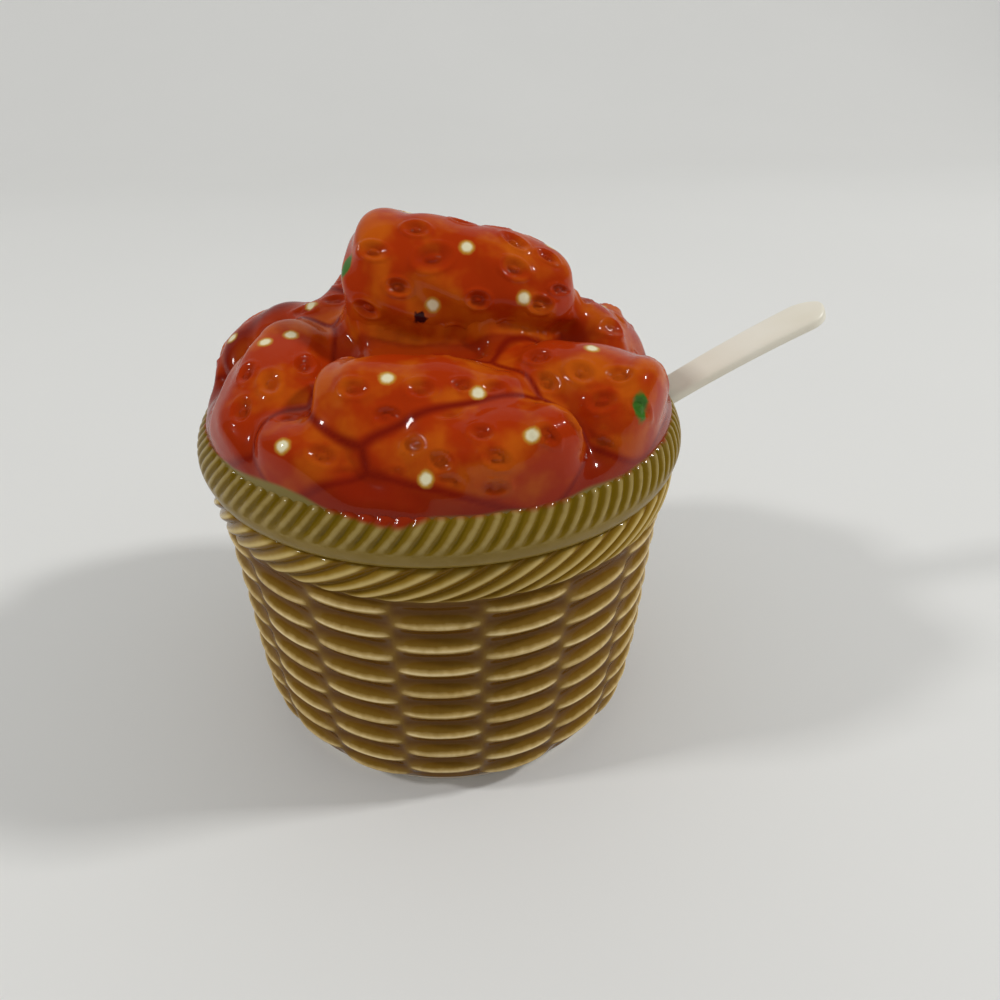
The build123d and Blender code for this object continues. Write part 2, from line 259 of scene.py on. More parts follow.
def turning_tree():
    """Node group that turns a profile round Z and lifts a weave and a rope from it."""
    tree = bpy.data.node_groups.new("turned_relief", "GeometryNodeTree")
    tree.interface.new_socket("Geometry", in_out="INPUT", socket_type="NodeSocketGeometry")
    for label, kind in TURN_INPUTS.items():
        tree.interface.new_socket(label, in_out="INPUT", socket_type=kind)
    tree.interface.new_socket("Geometry", in_out="OUTPUT", socket_type="NodeSocketGeometry")
    given = Wire(tree).node("NodeGroupInput")

    count = given.other("Profile Points")
    round_count = given.other("Around") + 1
    size = {"Size X": 1.0, "Size Y": 1.0, "Vertices X": round_count, "Vertices Y": count}
    geometry = given.node("GeometryNodeMeshGrid", sockets=size)
    place = given.node("GeometryNodeInputPosition")
    spot = given.node("ShaderNodeSeparateXYZ", sockets={0: place})
    share = spot + 0.5
    row = ((spot.other("Y") + 0.5) * (count - 1)).of("ROUND")

    def on_profile(value, data_type="FLOAT"):
        """A value of the profile point that this row of the grid follows."""
        sockets = {"Geometry": given.other("Geometry"), "Value": value, "Index": row}
        return given.node("GeometryNodeSampleIndex", {"data_type": data_type}, sockets)

    def profile_value(label):
        """A named value of that profile point."""
        kind = {"data_type": "FLOAT"}
        return on_profile(given.node("GeometryNodeInputNamedAttribute", kind, {"Name": label}))

    outline = given.node("ShaderNodeSeparateXYZ", sockets={0: on_profile(place, "FLOAT_VECTOR")})
    height = outline.other("Z")
    woven = profile_value("woven")
    roped = profile_value("roped")

    column = share * given.other("Columns") + 0.5
    aside = abs(column.of("FRACT") * 2 - 1)
    odd = column.of("FLOOR").of("FLOORED_MODULO", 2.0)
    course = (height - given.other("Weave Foot")) / given.other("Row Pitch") + odd * 0.5
    updown = course.of("FRACT") * 2 - 1
    strand = ((updown * math.pi).of("COSINE") * 0.5 + 0.5) ** HUMP_POWER
    bow = 1 - aside**BOW_REACH
    lay = (share * given.other("Rope Strands")).of("FRACT") * 2 - 1
    ridge = 1 - abs(lay) ** RIDGE_POWER

    weave_lift = woven * (bow * (strand - EDGE_RISE) + EDGE_RISE) * given.other("Strand Rise")
    lifted = outline + weave_lift + roped * ridge * given.other("Rope Rise")
    bearing = share * (2 * math.pi) + profile_value("turn")
    around = {"X": lifted * bearing.of("COSINE"), "Y": lifted * bearing.of("SINE"), "Z": height}
    moved = given.node("ShaderNodeCombineXYZ", sockets=around)

    middle = 1 - aside**GLAZE_REACH

    def wash(over):
        """Glaze that thins out at the crest: a sharp edge under it and a soft one over it."""
        return (1 - (over / -GLAZE_UNDER).of("MAXIMUM", over / GLAZE_OVER)).of("MAXIMUM", 0.0)

    weave_glaze = middle * (wash(updown) - EDGE_GLAZE) + EDGE_GLAZE
    rope_glaze = ridge + given.other("Rope Wash") * (wash(0 - lay) - ridge)
    # Where neither weave nor rope lies, the glaze takes the Plain Glaze level; the pot's low level
    # paints shade at the seam.
    plain_glaze = (1 - woven) * (1 - roped) * given.other("Plain Glaze")
    glaze = woven * weave_glaze + roped * rope_glaze + plain_glaze
    stored = {"glaze": glaze, "zone": profile_value("zone")}
    for label, value in stored.items():
        kept = {"Geometry": geometry, "Name": label, "Value": value}
        geometry = given.node("GeometryNodeStoreNamedAttribute", {"data_type": "FLOAT"}, kept)
    steps = {
        "GeometryNodeSetPosition": {"Position": moved},
        "GeometryNodeMergeByDistance": {"Distance": MERGE_DISTANCE},
        "GeometryNodeSetShadeSmooth": {},
        "GeometryNodeRealizeInstances": {},
        "GeometryNodeSetMaterial": {"Material": given.other("Material")},
    }
    for kind, sockets in steps.items():
        geometry = given.node(kind, sockets={"Geometry": geometry, **sockets})
    tree.links.new(geometry.socket, tree.nodes.new("NodeGroupOutput").inputs["Geometry"])
    return tree


turned_relief = turning_tree()
print("turning tree:", len(turned_relief.nodes), "nodes")

# %% [markdown]
# A modifier's inputs are found by their identifiers and set before the object is first evaluated.
# The evaluated result then becomes a plain mesh, because an exported model keeps no modifier.

# %% From profile to mesh


def add_object(name, data):
    """Put a mesh, a camera or a lamp into the scene as an object at the origin."""
    made = bpy.data.objects.new(name, data)
    bpy.context.scene.collection.objects.link(made)
    return made


def store(mesh, label, values):
    """Keep one value for each point of a mesh, for a node tree or a material to read."""
    layer = mesh.attributes.new(label, "FLOAT", "POINT")
    layer.data.foreach_set("value", np.asarray(values, np.float32))


def make_plain(piece, modifier):
    """Give a piece the result of its modifier as a plain mesh."""
    bpy.context.view_layer.update()
    depsgraph = bpy.context.evaluated_depsgraph_get()
    result = piece.evaluated_get(depsgraph)
    piece.data = bpy.data.meshes.new_from_object(result, depsgraph=depsgraph)
    piece.modifiers.remove(modifier)


class Bead(NamedTuple):
    """A stretch of profile: its points, shares of weave and rope, twist and finish."""

    points: np.ndarray
    woven: np.ndarray
    roped: np.ndarray
    turn: np.ndarray
    zone: np.ndarray


def stretch(points, zone, woven=0.0, roped=0.0, turn=0.0):
    """Profile points with their values, each value one number or one for each point."""
    points = np.asarray(points, float)
    spread = np.ones(len(points))
    return Bead(points, spread * woven, spread * roped, spread * turn, spread * zone)


def line(start, end, count):
    """Evenly spaced points from one place up to, but not on, another."""
    share = np.arange(count)[:, None] / count
    return np.asarray(start) * (1 - share) + np.asarray(end) * share


def arc(centre, radius, start, end, count):
    """Points on an arc, by angles in degrees, up to but not on its end."""
    angle = np.radians(start + (end - start) * np.arange(count) / count)
    return np.stack([centre[0] + radius * np.cos(angle), centre[1] + radius * np.sin(angle)], 1)


def turned_piece(name, stretches, around, material, sizes):
    """Turn a profile into a finished mesh with the relief tree."""
    profile = dict(zip(Bead._fields, map(np.concatenate, zip(*stretches))))
    points = profile.pop("points") * MM
    mesh = bpy.data.meshes.new(name)
    mesh.from_pydata([(r, 0.0, z) for r, z in points], [], [])
    for label, values in profile.items():
        store(mesh, label, values)
    piece = add_object(name, mesh)
    modifier = piece.modifiers.new("turning", "NODES")
    modifier.node_group = turned_relief
    given = {"Around": around, "Profile Points": len(points), "Material": material, **sizes}
    for item in turned_relief.interface.items_tree:
        if item.in_out == "INPUT" and item.name in given:
            modifier[item.identifier] = given[item.name]
    make_plain(piece, modifier)
    piece.data.name = name
    piece.data.materials.clear()
    piece.data.materials.append(material)
    piece.data.polygons.foreach_set("material_index", [0] * len(piece.data.polygons))
    print(f"{name}: {len(piece.data.polygons)} faces")
    return piece


print("values on a profile:", ", ".join(Bead._fields[1:]))

# %% [markdown]
# ## The basket glaze
# Real basket-ware is dipped in a brown glaze that runs off the high strands and pools between
# them, so the crests fire cream, the slopes olive and the hollows dark brown. Painting that by
# hand would take a texture. Here the relief tree has stored how high each point lies on its
# strand, and a colour ramp turns that height into the broken glaze, with noise to blur the edges.

# %% Basket glaze
CLAY = (214, 203, 186)
INSIDE_GLAZE = (226, 217, 198)
BROWN_POOL = (98, 62, 14)
BROWN = (114, 79, 22)
OLIVE_TAN = (132, 100, 36)
CREAM_TAN = (190, 160, 98)
CREAM = (232, 208, 154)
ROPE_GROOVE = (118, 84, 10)
ROPE_OLIVE = (150, 118, 40)
ROPE_CREAM = (202, 176, 110)
WEAVE_RAMP = [
    (0.05, BROWN_POOL),
    (0.34, BROWN),
    (0.62, OLIVE_TAN),
    (0.8, CREAM_TAN),
    (0.95, CREAM),
]
ROPE_RAMP = [(0.05, ROPE_GROOVE), (0.45, ROPE_OLIVE), (0.85, ROPE_CREAM)]
CLAY_ZONE = 0.0
# The rim's rounded foot at the seam, painted dark brown as shade of the gap under the lid.
SEAM_SHADE_ZONE = 0.0
FOOT_ZONE = 0.38
WEAVE_ZONE = 1.0
ROPE_ZONE = 2.0
INSIDE_ZONE = 3.0
BLEND_START = 0.25
BLEND_END = 0.75
GRAIN_SCALE = 700.0
GRAIN_DETAIL = 4.0
GRAIN_SHARE = 0.22
CLOUD_SCALE = 90.0
CLOUD_SHARE = 0.16
CLAY_ROUGHNESS = 0.55
GLAZE_ROUGHNESS = 0.2
BASKET_COAT = 0.25
SOFT_SHINE = 0.02


def zone_mix(start, *finishes):
    """Colours for the zones in their order along the profile, blended where zones meet."""
    zone = attribute(start, "zone")
    colour = finishes[0]
    for below, finish in enumerate(finishes[1:]):
        colour = zone.ease(below + BLEND_START, below + BLEND_END).mix(colour, finish)
    return colour


def basket_glaze():
    """Brown glaze, thin and cream on the crests and thick and dark between them."""
    material, shader, start = new_material("basket_glaze")
    grain = (noise(start, GRAIN_SCALE, GRAIN_DETAIL) - 0.5) * GRAIN_SHARE
    cloud = (noise(start, CLOUD_SCALE) - 0.5) * CLOUD_SHARE
    level = attribute(start, "glaze") + grain + cloud
    weave = level.ramp(*WEAVE_RAMP)
    rope = level.ramp(*ROPE_RAMP)
    feed(shader, Base_Color=zone_mix(start, CLAY, weave, rope, INSIDE_GLAZE))
    glazed = attribute(start, "zone").ease(BLEND_START, BLEND_END)
    feed(shader, Roughness=CLAY_ROUGHNESS + glazed * (GLAZE_ROUGHNESS - CLAY_ROUGHNESS))
    feed(shader, Coat_Weight=glazed * BASKET_COAT, Coat_Roughness=0.05)
    feed(shader, Specular_IOR_Level=SOFT_SHINE)
    return material


basket_finish = basket_glaze()
print("basket glaze:", len(basket_finish.node_tree.nodes), "nodes")

# %% [markdown]
# ## The pot
# The pot is slip-cast: one wall with the basket on its outside, a rope band that closes the weave
# under the mouth, a rounded lip and a plain glazed inside. Its profile runs from the middle of the
# foot, up the outside and down the inside to the middle of the floor.

# %% Pot profile and pot
STRAND_RISE = 1.5
WEAVE_COLUMNS = 18
WEAVE_ROWS = 9
WEAVE_FOOT = 2.0
BAND_STRANDS = 50
BAND_RISE = 0.9
BAND_BULGE = 0.5
BAND_TWIST = math.radians(20.0)
BAND_SWEEP = 0.75
BAND_POINTS = 11
POT_FLOOR = 5.0
INNER_CORNER = 8.0
POT_WALL = 5.1
INNER_RADIUS = wall_radius(POT_FLOOR + INNER_CORNER) - POT_WALL
LIP_ROUND = 1.5
FOOT_ROUND = 0.6
FOOT_LIP = 2.0
FOOT_FADE = 2.6
TOP_FADE = 1.2
BAND_FADE = 0.12
WEAVE_STEPS = 96
FOOT_STEPS = 5
BAND_STEPS = 24
FLAT_STEPS = 6
ROUND_STEPS = 4
LIP_STEPS = 6
WALL_STEPS = 12
CORNER_STEPS = 8


def on_wall(heights):
    """Points of the basket's wall under its strands."""
    return np.stack([wall_radius(heights) - STRAND_RISE, heights], 1)


def pot_profile():
    """The pot's outline from the middle of its foot round to the middle of its floor."""
    foot = (wall_radius(0.0) - STRAND_RISE - FOOT_ROUND, FOOT_ROUND)
    base = [line((0, 0), (foot[0], 0), FLAT_STEPS), arc(foot, FOOT_ROUND, -90, 0, ROUND_STEPS)]
    foot_heights = np.linspace(FOOT_ROUND, FOOT_LIP, FOOT_STEPS, endpoint=False)
    heights = np.linspace(FOOT_LIP, WEAVE_TOP, WEAVE_STEPS, endpoint=False)
    from_foot = np.clip((heights - FOOT_LIP) / FOOT_FADE, 0, 1)
    from_band = np.clip((WEAVE_TOP - heights) / TOP_FADE, 0, 1)
    rise = np.linspace(0, 1, BAND_STEPS)
    band_heights = WEAVE_TOP + BAND_HEIGHT * rise
    band_swell = BAND_BULGE * 4 * rise * (1 - rise)
    band = np.stack([wall_radius(band_heights) - BAND_RISE + band_swell, band_heights], 1)
    band_fade = np.clip(np.minimum(rise, 1 - rise) / BAND_FADE, 0, 1) ** 0.5
    lip = (MOUTH_RADIUS + LIP_ROUND, POT_TOP - LIP_ROUND)
    corner = (INNER_RADIUS - INNER_CORNER, POT_FLOOR + INNER_CORNER)
    inside = [
        line((BAND_RADIUS - BAND_RISE, POT_TOP), (lip[0], POT_TOP), ROUND_STEPS)[1:],
        arc(lip, LIP_ROUND, 90, 180, LIP_STEPS),
        line((MOUTH_RADIUS, lip[1]), (INNER_RADIUS, corner[1]), WALL_STEPS),
        arc(corner, INNER_CORNER, 0, -90, CORNER_STEPS),
        line((corner[0], POT_FLOOR), (0, POT_FLOOR), FLAT_STEPS),
        [(0, POT_FLOOR)],
    ]
    return [
        stretch(np.concatenate(base), CLAY_ZONE),
        stretch(on_wall(foot_heights), FOOT_ZONE),
        stretch(on_wall(heights), WEAVE_ZONE, woven=from_foot * from_band),
        stretch(band, ROPE_ZONE, roped=band_fade, turn=BAND_TWIST * rise**BAND_SWEEP),
        stretch(np.concatenate(inside), INSIDE_ZONE, turn=BAND_TWIST),
    ]


basket_pot = turned_piece(
    "basket_pot",
    pot_profile(),
    BAND_STRANDS * BAND_POINTS,
    basket_finish,
    {
        "Columns": float(WEAVE_COLUMNS),
        "Weave Foot": WEAVE_FOOT * MM,
        "Row Pitch": (WEAVE_TOP - WEAVE_FOOT) / WEAVE_ROWS * MM,
        "Strand Rise": STRAND_RISE * MM,
        "Rope Strands": float(BAND_STRANDS),
        "Rope Rise": BAND_RISE * MM,
        "Rope Wash": 1.0,
        # The band's top end is painted dark, as shade of the seam under the lid.
        "Plain Glaze": SEAM_SHADE_GLAZE,
    },
)

# %% [markdown]
# ## Berries as distance fields
# The heap was carved as one model and cast in one skin, so its berries flow into each other with
# soft creases where the glaze has pooled. Joining thirteen meshes would leave hard cuts. A
# distance field says for any point how far it lies outside a berry, and a smooth minimum of
# several fields rounds every crease. The berries stand where the CAD heap has them.

# %% Berry places and the field of one berry


class Berry(NamedTuple):
    """Bearing and reach of a berry's middle, height over the seam, its axis and its size."""

    bearing: float
    reach: float
    height: float
    heading: float
    dip: float
    length: float
    radius: float


HEAP = [
    Berry(200, 30.5, 11.0, 72, 35, 33, 11.5),
    Berry(233, 35.2, 9.4, 348, 3, 22, 8.8),
    Berry(254, 24.4, 15.2, 352, 3, 34, 10.2),
    Berry(271.5, 33.6, 10.9, 163, 1, 34, 10.2),
    Berry(314, 29.8, 12.6, 156, 15, 31, 12.5),
    Berry(6, 29.9, 12.3, 48, -20, 30, 10.4),
    Berry(157, 26.0, 13.7, 178, -8, 28, 10.5),
    Berry(157, 33.8, 12.0, 188, -15, 24, 9.4),
    Berry(113, 23.0, 14.5, 88, -30, 32, 11.5),
    Berry(38, 26.2, 14.0, 68, -30, 32, 11.5),
    Berry(120, 34.7, 9.5, 188, -10, 26, 9.0),
    Berry(75, 34.1, 10.5, 353, -6, 30, 9.2),
    Berry(31, 36.8, 9.5, 138, -5, 28, 8.8),
]
KNOB_RADIUS = 12.0
KNOB_SINK = 4.1
KNOB_HEADING = -11.6
KNOB_HEIGHT = KNOB_SEAT + KNOB_RADIUS - KNOB_SINK - POT_TOP
KNOB = Berry(KNOB_HEADING, 2.2, KNOB_HEIGHT, KNOB_HEADING, -3, 39.5, KNOB_RADIUS)
CAP_ROUND_SHARE = 0.62
TIP_SHARE = 0.67
SIDE_SWELL_SHARE = 0.07
BERRY_MIDDLE = 0.45


def berry_axes(berry):
    """Middle of the cap end, the axis towards the tip and two directions square to it."""
    turn, lean = math.radians(berry.heading), math.radians(berry.dip)
    where = math.radians(berry.bearing)
    ahead = np.array([math.cos(turn), math.sin(turn), 0.0])
    side = np.array([-math.sin(turn), math.cos(turn), 0.0])
    axis = math.cos(lean) * ahead + np.array([0.0, 0.0, math.sin(lean)])
    out = berry.reach * np.array([math.cos(where), math.sin(where)])
    middle = np.array([*out, POT_TOP + berry.height])
    return middle - axis * BERRY_MIDDLE * berry.length, axis, side, np.cross(axis, side)


def berry_distance(points, berry):
    """Distance outside a berry: a round shoulder, a swelling side and a ball tip."""
    cap, axis, _, _ = berry_axes(berry)
    offset = [p - c for p, c in zip(points, cap)]
    along = sum(o * a for o, a in zip(offset, axis))
    out = np.sqrt(np.maximum(sum(o * o for o in offset) - along * along, 0))
    shoulder, tip = CAP_ROUND_SHARE * berry.radius, TIP_SHARE * berry.radius
    flat = berry.radius - shoulder
    run = berry.length - tip - shoulder
    reach = math.hypot(run, flat)
    from_shoulder = along - shoulder
    over = out - flat
    level = (from_shoulder * run - over * flat) / reach
    above = (from_shoulder * flat + over * run) / reach
    slope = (shoulder - tip) / reach
    rise = math.sqrt(1 - slope * slope)
    part = level * rise - above * slope
    share = np.clip(part / (reach * rise), 0, 1)
    swell = SIDE_SWELL_SHARE * berry.radius * 4 * share * (1 - share)
    on_side = above * rise + level * slope - shoulder - swell
    on_shoulder = np.hypot(level, above) - shoulder
    on_tip = np.hypot(level - reach, above) - tip
    return np.where(part < 0, on_shoulder, np.where(part > reach * rise, on_tip, on_side))


print("berries in the heap:", len(HEAP))

# %% [markdown]
# ## The field of the heap
# The berries lie on a low dome, hollow underneath. The field joins the dome and the berries,
# rounds a cove of glaze against the knob, and then cuts away the outside, the hollow and the
# arched notch that lets the spoon out. The rim has the same notch and hollow. Two faces in one
# plane would render as dark patches, so the heap is cut back a hair behind the rim's faces.

# %% Smooth joins and slow waves
LUMP_ACROSS = (0.31, 0.0, 0.5)
LUMP_ALONG = (0.0, 0.27, -0.4)
LUMP_SLANTED = (0.55, -0.47, 0.6)
LUMP_SHIFT = 1.3
LUMP_SLANTED_SHARE = 0.6


def smooth_min(first, second, width):
    """The lesser of two fields, rounded where they come within a width of each other."""
    near = np.maximum(width - np.abs(first - second), 0) / width
    return np.minimum(first, second) - near * near * width / 4


def smooth_max(first, second, width):
    """The greater of two fields, rounded in the same way."""
    return -smooth_min(-first, -second, width)


def wave(points, way, shift=0.0):
    """A sine wave over points, with a wave number for each direction."""
    return np.sin(sum(number * place for number, place in zip(way, points)) + shift)


def lumps(points):
    """Slow uneven swelling left by the modeller's hand."""
    rows = wave(points, LUMP_ACROSS) * wave(points, LUMP_ALONG, LUMP_SHIFT)
    return rows + LUMP_SLANTED_SHARE * wave(points, LUMP_SLANTED)


print("two equal fields join", -smooth_min(0.0, 0.0, 1.0), "of the rounding width deeper")

# %% Dome, hollow and notch
SEAT_RADIUS = 18.0
SKIRT_TOP = (41.3, RIM_TOP + 3.0)
DOME_MIDDLE = (29.65, POT_TOP + 14.15)
SEAT_EDGE = (SEAT_RADIUS, KNOB_SEAT)
HOLLOW_SPRING = POT_TOP + 2.6
HOLLOW_SIDE = (HOLLOW_RADIUS, HOLLOW_SPRING)
HOLLOW_MIDDLE = (27.15, POT_TOP + 10.55)
CEILING_EDGE = (SEAT_RADIUS, KNOB_SEAT - 5.5)
SLOPE_SHARE = 0.8
FAR_BELOW = -99.0
NOTCH_HALF = 5.6
NOTCH_TOP = POT_TOP + 6.9
NOTCH_ROUND = 1.5
NOTCH_START = 33.7
HIDDEN_LAP = 0.12


def arc_height(radius, outer, middle, inner):
    """Height at a radius of the arc through three points, level inside the inner one."""
    (ax, az), (bx, bz), (cx, cz) = outer, middle, inner
    twice = 2 * (ax * (bz - cz) + bx * (cz - az) + cx * (az - bz))
    a, b, c = ax**2 + az**2, bx**2 + bz**2, cx**2 + cz**2
    centre_r = (a * (bz - cz) + b * (cz - az) + c * (az - bz)) / twice
    centre_z = (a * (cx - bx) + b * (ax - cx) + c * (bx - ax)) / twice
    reach = math.hypot(ax - centre_r, az - centre_z)
    rise = np.sqrt(np.maximum(reach**2 - (radius - centre_r) ** 2, 0))
    return np.where(radius < cx, cz, centre_z + math.copysign(1, bz - centre_z) * rise)


def dome_height(radius):
    """Height of the dome under the berries."""
    return arc_height(radius, SKIRT_TOP, DOME_MIDDLE, SEAT_EDGE)


def hollow_height(radius):
    """Height of the lid's ceiling, which ends at the flange."""
    ceiling = arc_height(radius, HOLLOW_SIDE, HOLLOW_MIDDLE, CEILING_EDGE)
    return np.where(radius > HOLLOW_RADIUS + HIDDEN_LAP, FAR_BELOW, ceiling)


def notch_field(points):
    """Negative inside the notch over the spoon, which has rounded upper corners."""
    x, y, z = points
    aside = np.abs(y) - NOTCH_HALF + NOTCH_ROUND
    above = z - NOTCH_TOP + NOTCH_ROUND
    corner = np.hypot(np.maximum(aside, 0), np.maximum(above, 0))
    opening = corner + np.minimum(np.maximum(aside, above), 0) - NOTCH_ROUND
    return np.maximum(opening, NOTCH_START - x)


def over_dome(points):
    """Distance over the dome, shortened because the dome slopes."""
    x, y, z = points
    return (z - dome_height(np.hypot(x, y))) * SLOPE_SHARE


def in_hollow(points):
    """Distance below the ceiling of the hollow, shortened in the same way."""
    x, y, z = points
    return (hollow_height(np.hypot(x, y)) - z) * SLOPE_SHARE


print(f"dome {float(dome_height(0.0) - hollow_height(0.0)):.1f} mm thick in the middle")

# %% Fields of the heap and the knob
HEAP_RADIUS = 42.7
HEAP_FOOT = HOLLOW_SPRING - 0.4
CREASE_ROUND = 3.6
SKIRT_ROUND = 2.5
LUMP_HEIGHT = 0.36
COVE_ROUND = 6.5
COVE_HEIGHT = 6.5
COVE_INSET = 0.4
COVE_RAGGED = 0.12
RAGGED_ACROSS = (1.7, 0.9, 0.0)
RAGGED_ALONG = (-0.6, 1.1, 0.0)
SEAT_ROUND = 0.8


def heap_field(points):
    """Distance outside the lid's heap."""
    x, y, z = points
    field = over_dome(points)
    for berry in HEAP:
        field = smooth_min(field, berry_distance(points, berry), CREASE_ROUND)
    ragged = COVE_RAGGED * wave(points, RAGGED_ACROSS) * wave(points, RAGGED_ALONG)
    cove = np.maximum(berry_distance(points, KNOB) + COVE_INSET, z - KNOB_SEAT - COVE_HEIGHT)
    field = smooth_min(field, cove - ragged, COVE_ROUND) - LUMP_HEIGHT * lumps(points)
    field = smooth_max(field, np.hypot(x, y) - HEAP_RADIUS, SKIRT_ROUND)
    field = np.maximum(field, in_hollow(points))
    field = np.maximum(field, HEAP_FOOT - z)
    return np.maximum(field, HIDDEN_LAP - notch_field(points))


def knob_field(points):
    """Distance outside the knob, cut flat at its seat."""
    field = berry_distance(points, KNOB) - LUMP_HEIGHT * lumps(points)
    return smooth_max(field, KNOB_SEAT - points[2], SEAT_ROUND)


knob_middle = np.array([0.0, 0.0, POT_TOP + KNOB_HEIGHT])
print(f"field in the middle of the knob: {float(knob_field(knob_middle)):.1f} mm")

# %% [markdown]
# ## A skin over a field
# Surface nets turn a field into a mesh: every cell that the surface crosses gets one point, and
# every grid edge that it crosses joins the four cells round it with a quad. A few steps along the
# slope of the field then bring each point onto the surface. A remesh of joined spheres would be
# quicker to write, but its points lie on steps, which a glossy glaze shows.

# %% Surface nets
CORNERS = [(i, j, k) for i in (0, 1) for j in (0, 1) for k in (0, 1)]
SLOPE_STEP = 0.02
LEAST_SLOPE = 0.2
SNAP_STEPS = 2


def slope(field, points):
    """Gradient of a field at points, by small differences."""
    sides = []
    for axis in range(3):
        ahead, behind = points.copy(), points.copy()
        ahead[:, axis] += SLOPE_STEP
        behind[:, axis] -= SLOPE_STEP
        sides.append((field(ahead.T) - field(behind.T)) / (2 * SLOPE_STEP))
    return np.stack(sides, 1)


def corner_blocks(values):
    """The grid's values at each of the eight corners of its cells."""
    nx, ny, nz = (n - 1 for n in values.shape)
    return {(i, j, k): values[i:i + nx, j:j + ny, k:k + nz] for i, j, k in CORNERS}


def net_points(values, crossed):
    """For each crossed cell, the middle of the places where the surface crosses its edges."""
    corner_values = {corner: block[crossed] for corner, block in corner_blocks(values).items()}
    total = np.zeros((crossed.sum(), 3))
    hits = np.zeros(crossed.sum())
    for first in CORNERS:
        for axis in range(3):
            if first[axis] == 1:
                continue
            second = tuple(1 if n == axis else c for n, c in enumerate(first))
            a, b = corner_values[first], corner_values[second]
            meets = (a < 0) != (b < 0)
            share = np.where(meets, a / np.where(meets, a - b, 1), 0)
            spot = np.tile(np.array(first, float), (len(a), 1))
            spot[:, axis] = share
            total += spot * meets[:, None]
            hits += meets
    return np.argwhere(crossed) + total / hits[:, None]


def net_quads(inside, index):
    """A quad round each grid edge that the surface crosses, through the four cells beside it."""
    quads = []
    for axis in range(3):
        before = [slice(1, -1)] * 3
        after = [slice(1, -1)] * 3
        before[axis] = slice(0, -1)
        after[axis] = slice(1, None)
        start, end = inside[tuple(before)], inside[tuple(after)]
        spots = np.argwhere(start != end)
        outward = start[start != end]
        spots += [0 if n == axis else 1 for n in range(3)]
        u, v = [n for n in range(3) if n != axis]
        ring = []
        for du, dv in ((1, 1), (0, 1), (0, 0), (1, 0)):
            cell = spots.copy()
            cell[:, u] -= du
            cell[:, v] -= dv
            ring.append(index[tuple(cell.T)])
        ring = np.stack(ring, 1)
        flip = outward if axis == 1 else ~outward
        ring[flip] = ring[flip][:, ::-1]
        quads.append(ring)
    return np.concatenate(quads)


def settle(field, points, step):
    """Points brought onto the surface along the field's slope, and their outward normals."""
    for _ in range(SNAP_STEPS):
        fall = slope(field, points)
        steep = np.maximum((fall * fall).sum(1), LEAST_SLOPE)
        move = field(points.T)[:, None] * fall / steep[:, None]
        points = points - np.clip(move, -step / 2, step / 2)
    normals = slope(field, points)
    normals /= np.maximum(np.linalg.norm(normals, axis=1), 1e-6)[:, None]
    return points, normals


def surface_net(field, low, high, step):
    """Points, quads and outward normals of the surface where a field is zero."""
    axes = [np.arange(a, b + step, step) for a, b in zip(low, high)]
    values = field(np.meshgrid(*axes, indexing="ij", sparse=True)).astype(np.float32)
    inside = values < 0
    filled = sum(block.astype(np.int8) for block in corner_blocks(inside).values())
    crossed = (filled > 0) & (filled < len(CORNERS))
    index = np.full(crossed.shape, -1, np.int64)
    index[crossed] = np.arange(crossed.sum())
    points = net_points(values, crossed) * step + np.array(low)
    points, normals = settle(field, points, step)
    return points, net_quads(inside, index), normals


def ball_field(points):
    """Distance outside a ball of radius 1, to try the net on."""
    return np.sqrt(sum(place * place for place in points)) - 1


ball_points = surface_net(ball_field, (-2,) * 3, (2,) * 3, 0.5)[0]
print("points in the skin of a trial ball:", len(ball_points))

# %% [markdown]
# ## Pits and seeds
# Each berry carries oval dents with a raised edge and a small seed in each. They are shallow, so
# they are pressed into the finished skin: every point looks up the nearest pit of its own berry
# and moves along its normal. A bump in the material would look the same from the front but leave
# the outline smooth. Where nothing better is known, the pits run in rings about the berry's axis.

# %% Pits on a berry
PIT_HALF_LENGTH = 2.2
PIT_HALF_WIDTH = 1.45
PIT_DEPTH = 0.6
PIT_LIP = 0.22
SEED_HALF_LENGTH = 1.0
SEED_HALF_WIDTH = 0.55
SEED_RISE = 0.5
PIT_FLAT = 0.30
LIP_PLACE = 1.12
LIP_WIDTH = 0.2
SEED_EDGE = (0.4, 1.1)
LEAST_IN_RING = 4
PIT_SPACING = 8.2
RING_START = 0.55
RING_STEP = 0.8
PIT_JITTER = 1.2
PIT_SLANT = 0.5
PIT_SIZES = (0.8, 1.2)
PIT_SEED = 11


def smooth_step(low, high, value):
    """Smooth rise from 0 at the low level to 1 at the high one."""
    share = np.clip((value - low) / (high - low), 0, 1)
    return share * share * (3 - 2 * share)


def berry_outline(berry, along):
    """Radius of a berry at a distance from its cap end."""
    shoulder, tip = CAP_ROUND_SHARE * berry.radius, TIP_SHARE * berry.radius
    share = np.clip((along - shoulder) / (berry.length - tip - shoulder), 0, 1)
    return berry.radius * (1 - share) + tip * share


class Pit(NamedTuple):
    """Place of a pit along a berry's axis and about it, its slant in radians and its size."""

    along: float
    turn: float
    slant: float
    size: float


def ring_pits(berry, number):
    """Rings of pits round a berry, half a step out from ring to ring and a little uneven."""
    draw = np.random.default_rng(PIT_SEED + number)
    pits = []
    rings = int((berry.length - PIT_SPACING) / (PIT_SPACING * RING_STEP)) + 1
    for ring in range(rings):
        along = PIT_SPACING * (RING_START + RING_STEP * ring)
        girth = 2 * math.pi * berry_outline(berry, along)
        count = max(LEAST_IN_RING, round(girth / PIT_SPACING))
        for step in range(count):
            turn = 2 * math.pi * (step + ring % 2 / 2) / count
            shift = draw.uniform(-PIT_JITTER, PIT_JITTER, 2)
            slant, size = draw.uniform(-PIT_SLANT, PIT_SLANT), draw.uniform(*PIT_SIZES)
            pits.append(Pit(along + shift[0], turn + shift[1] / berry.radius, slant, size))
    return pits


def berry_place(berry, points):
    """Place of points along a berry's axis and their turn about it."""
    cap, axis, side, over = berry_axes(berry)
    offset = points - cap
    return offset @ axis, np.arctan2(offset @ over, offset @ side)


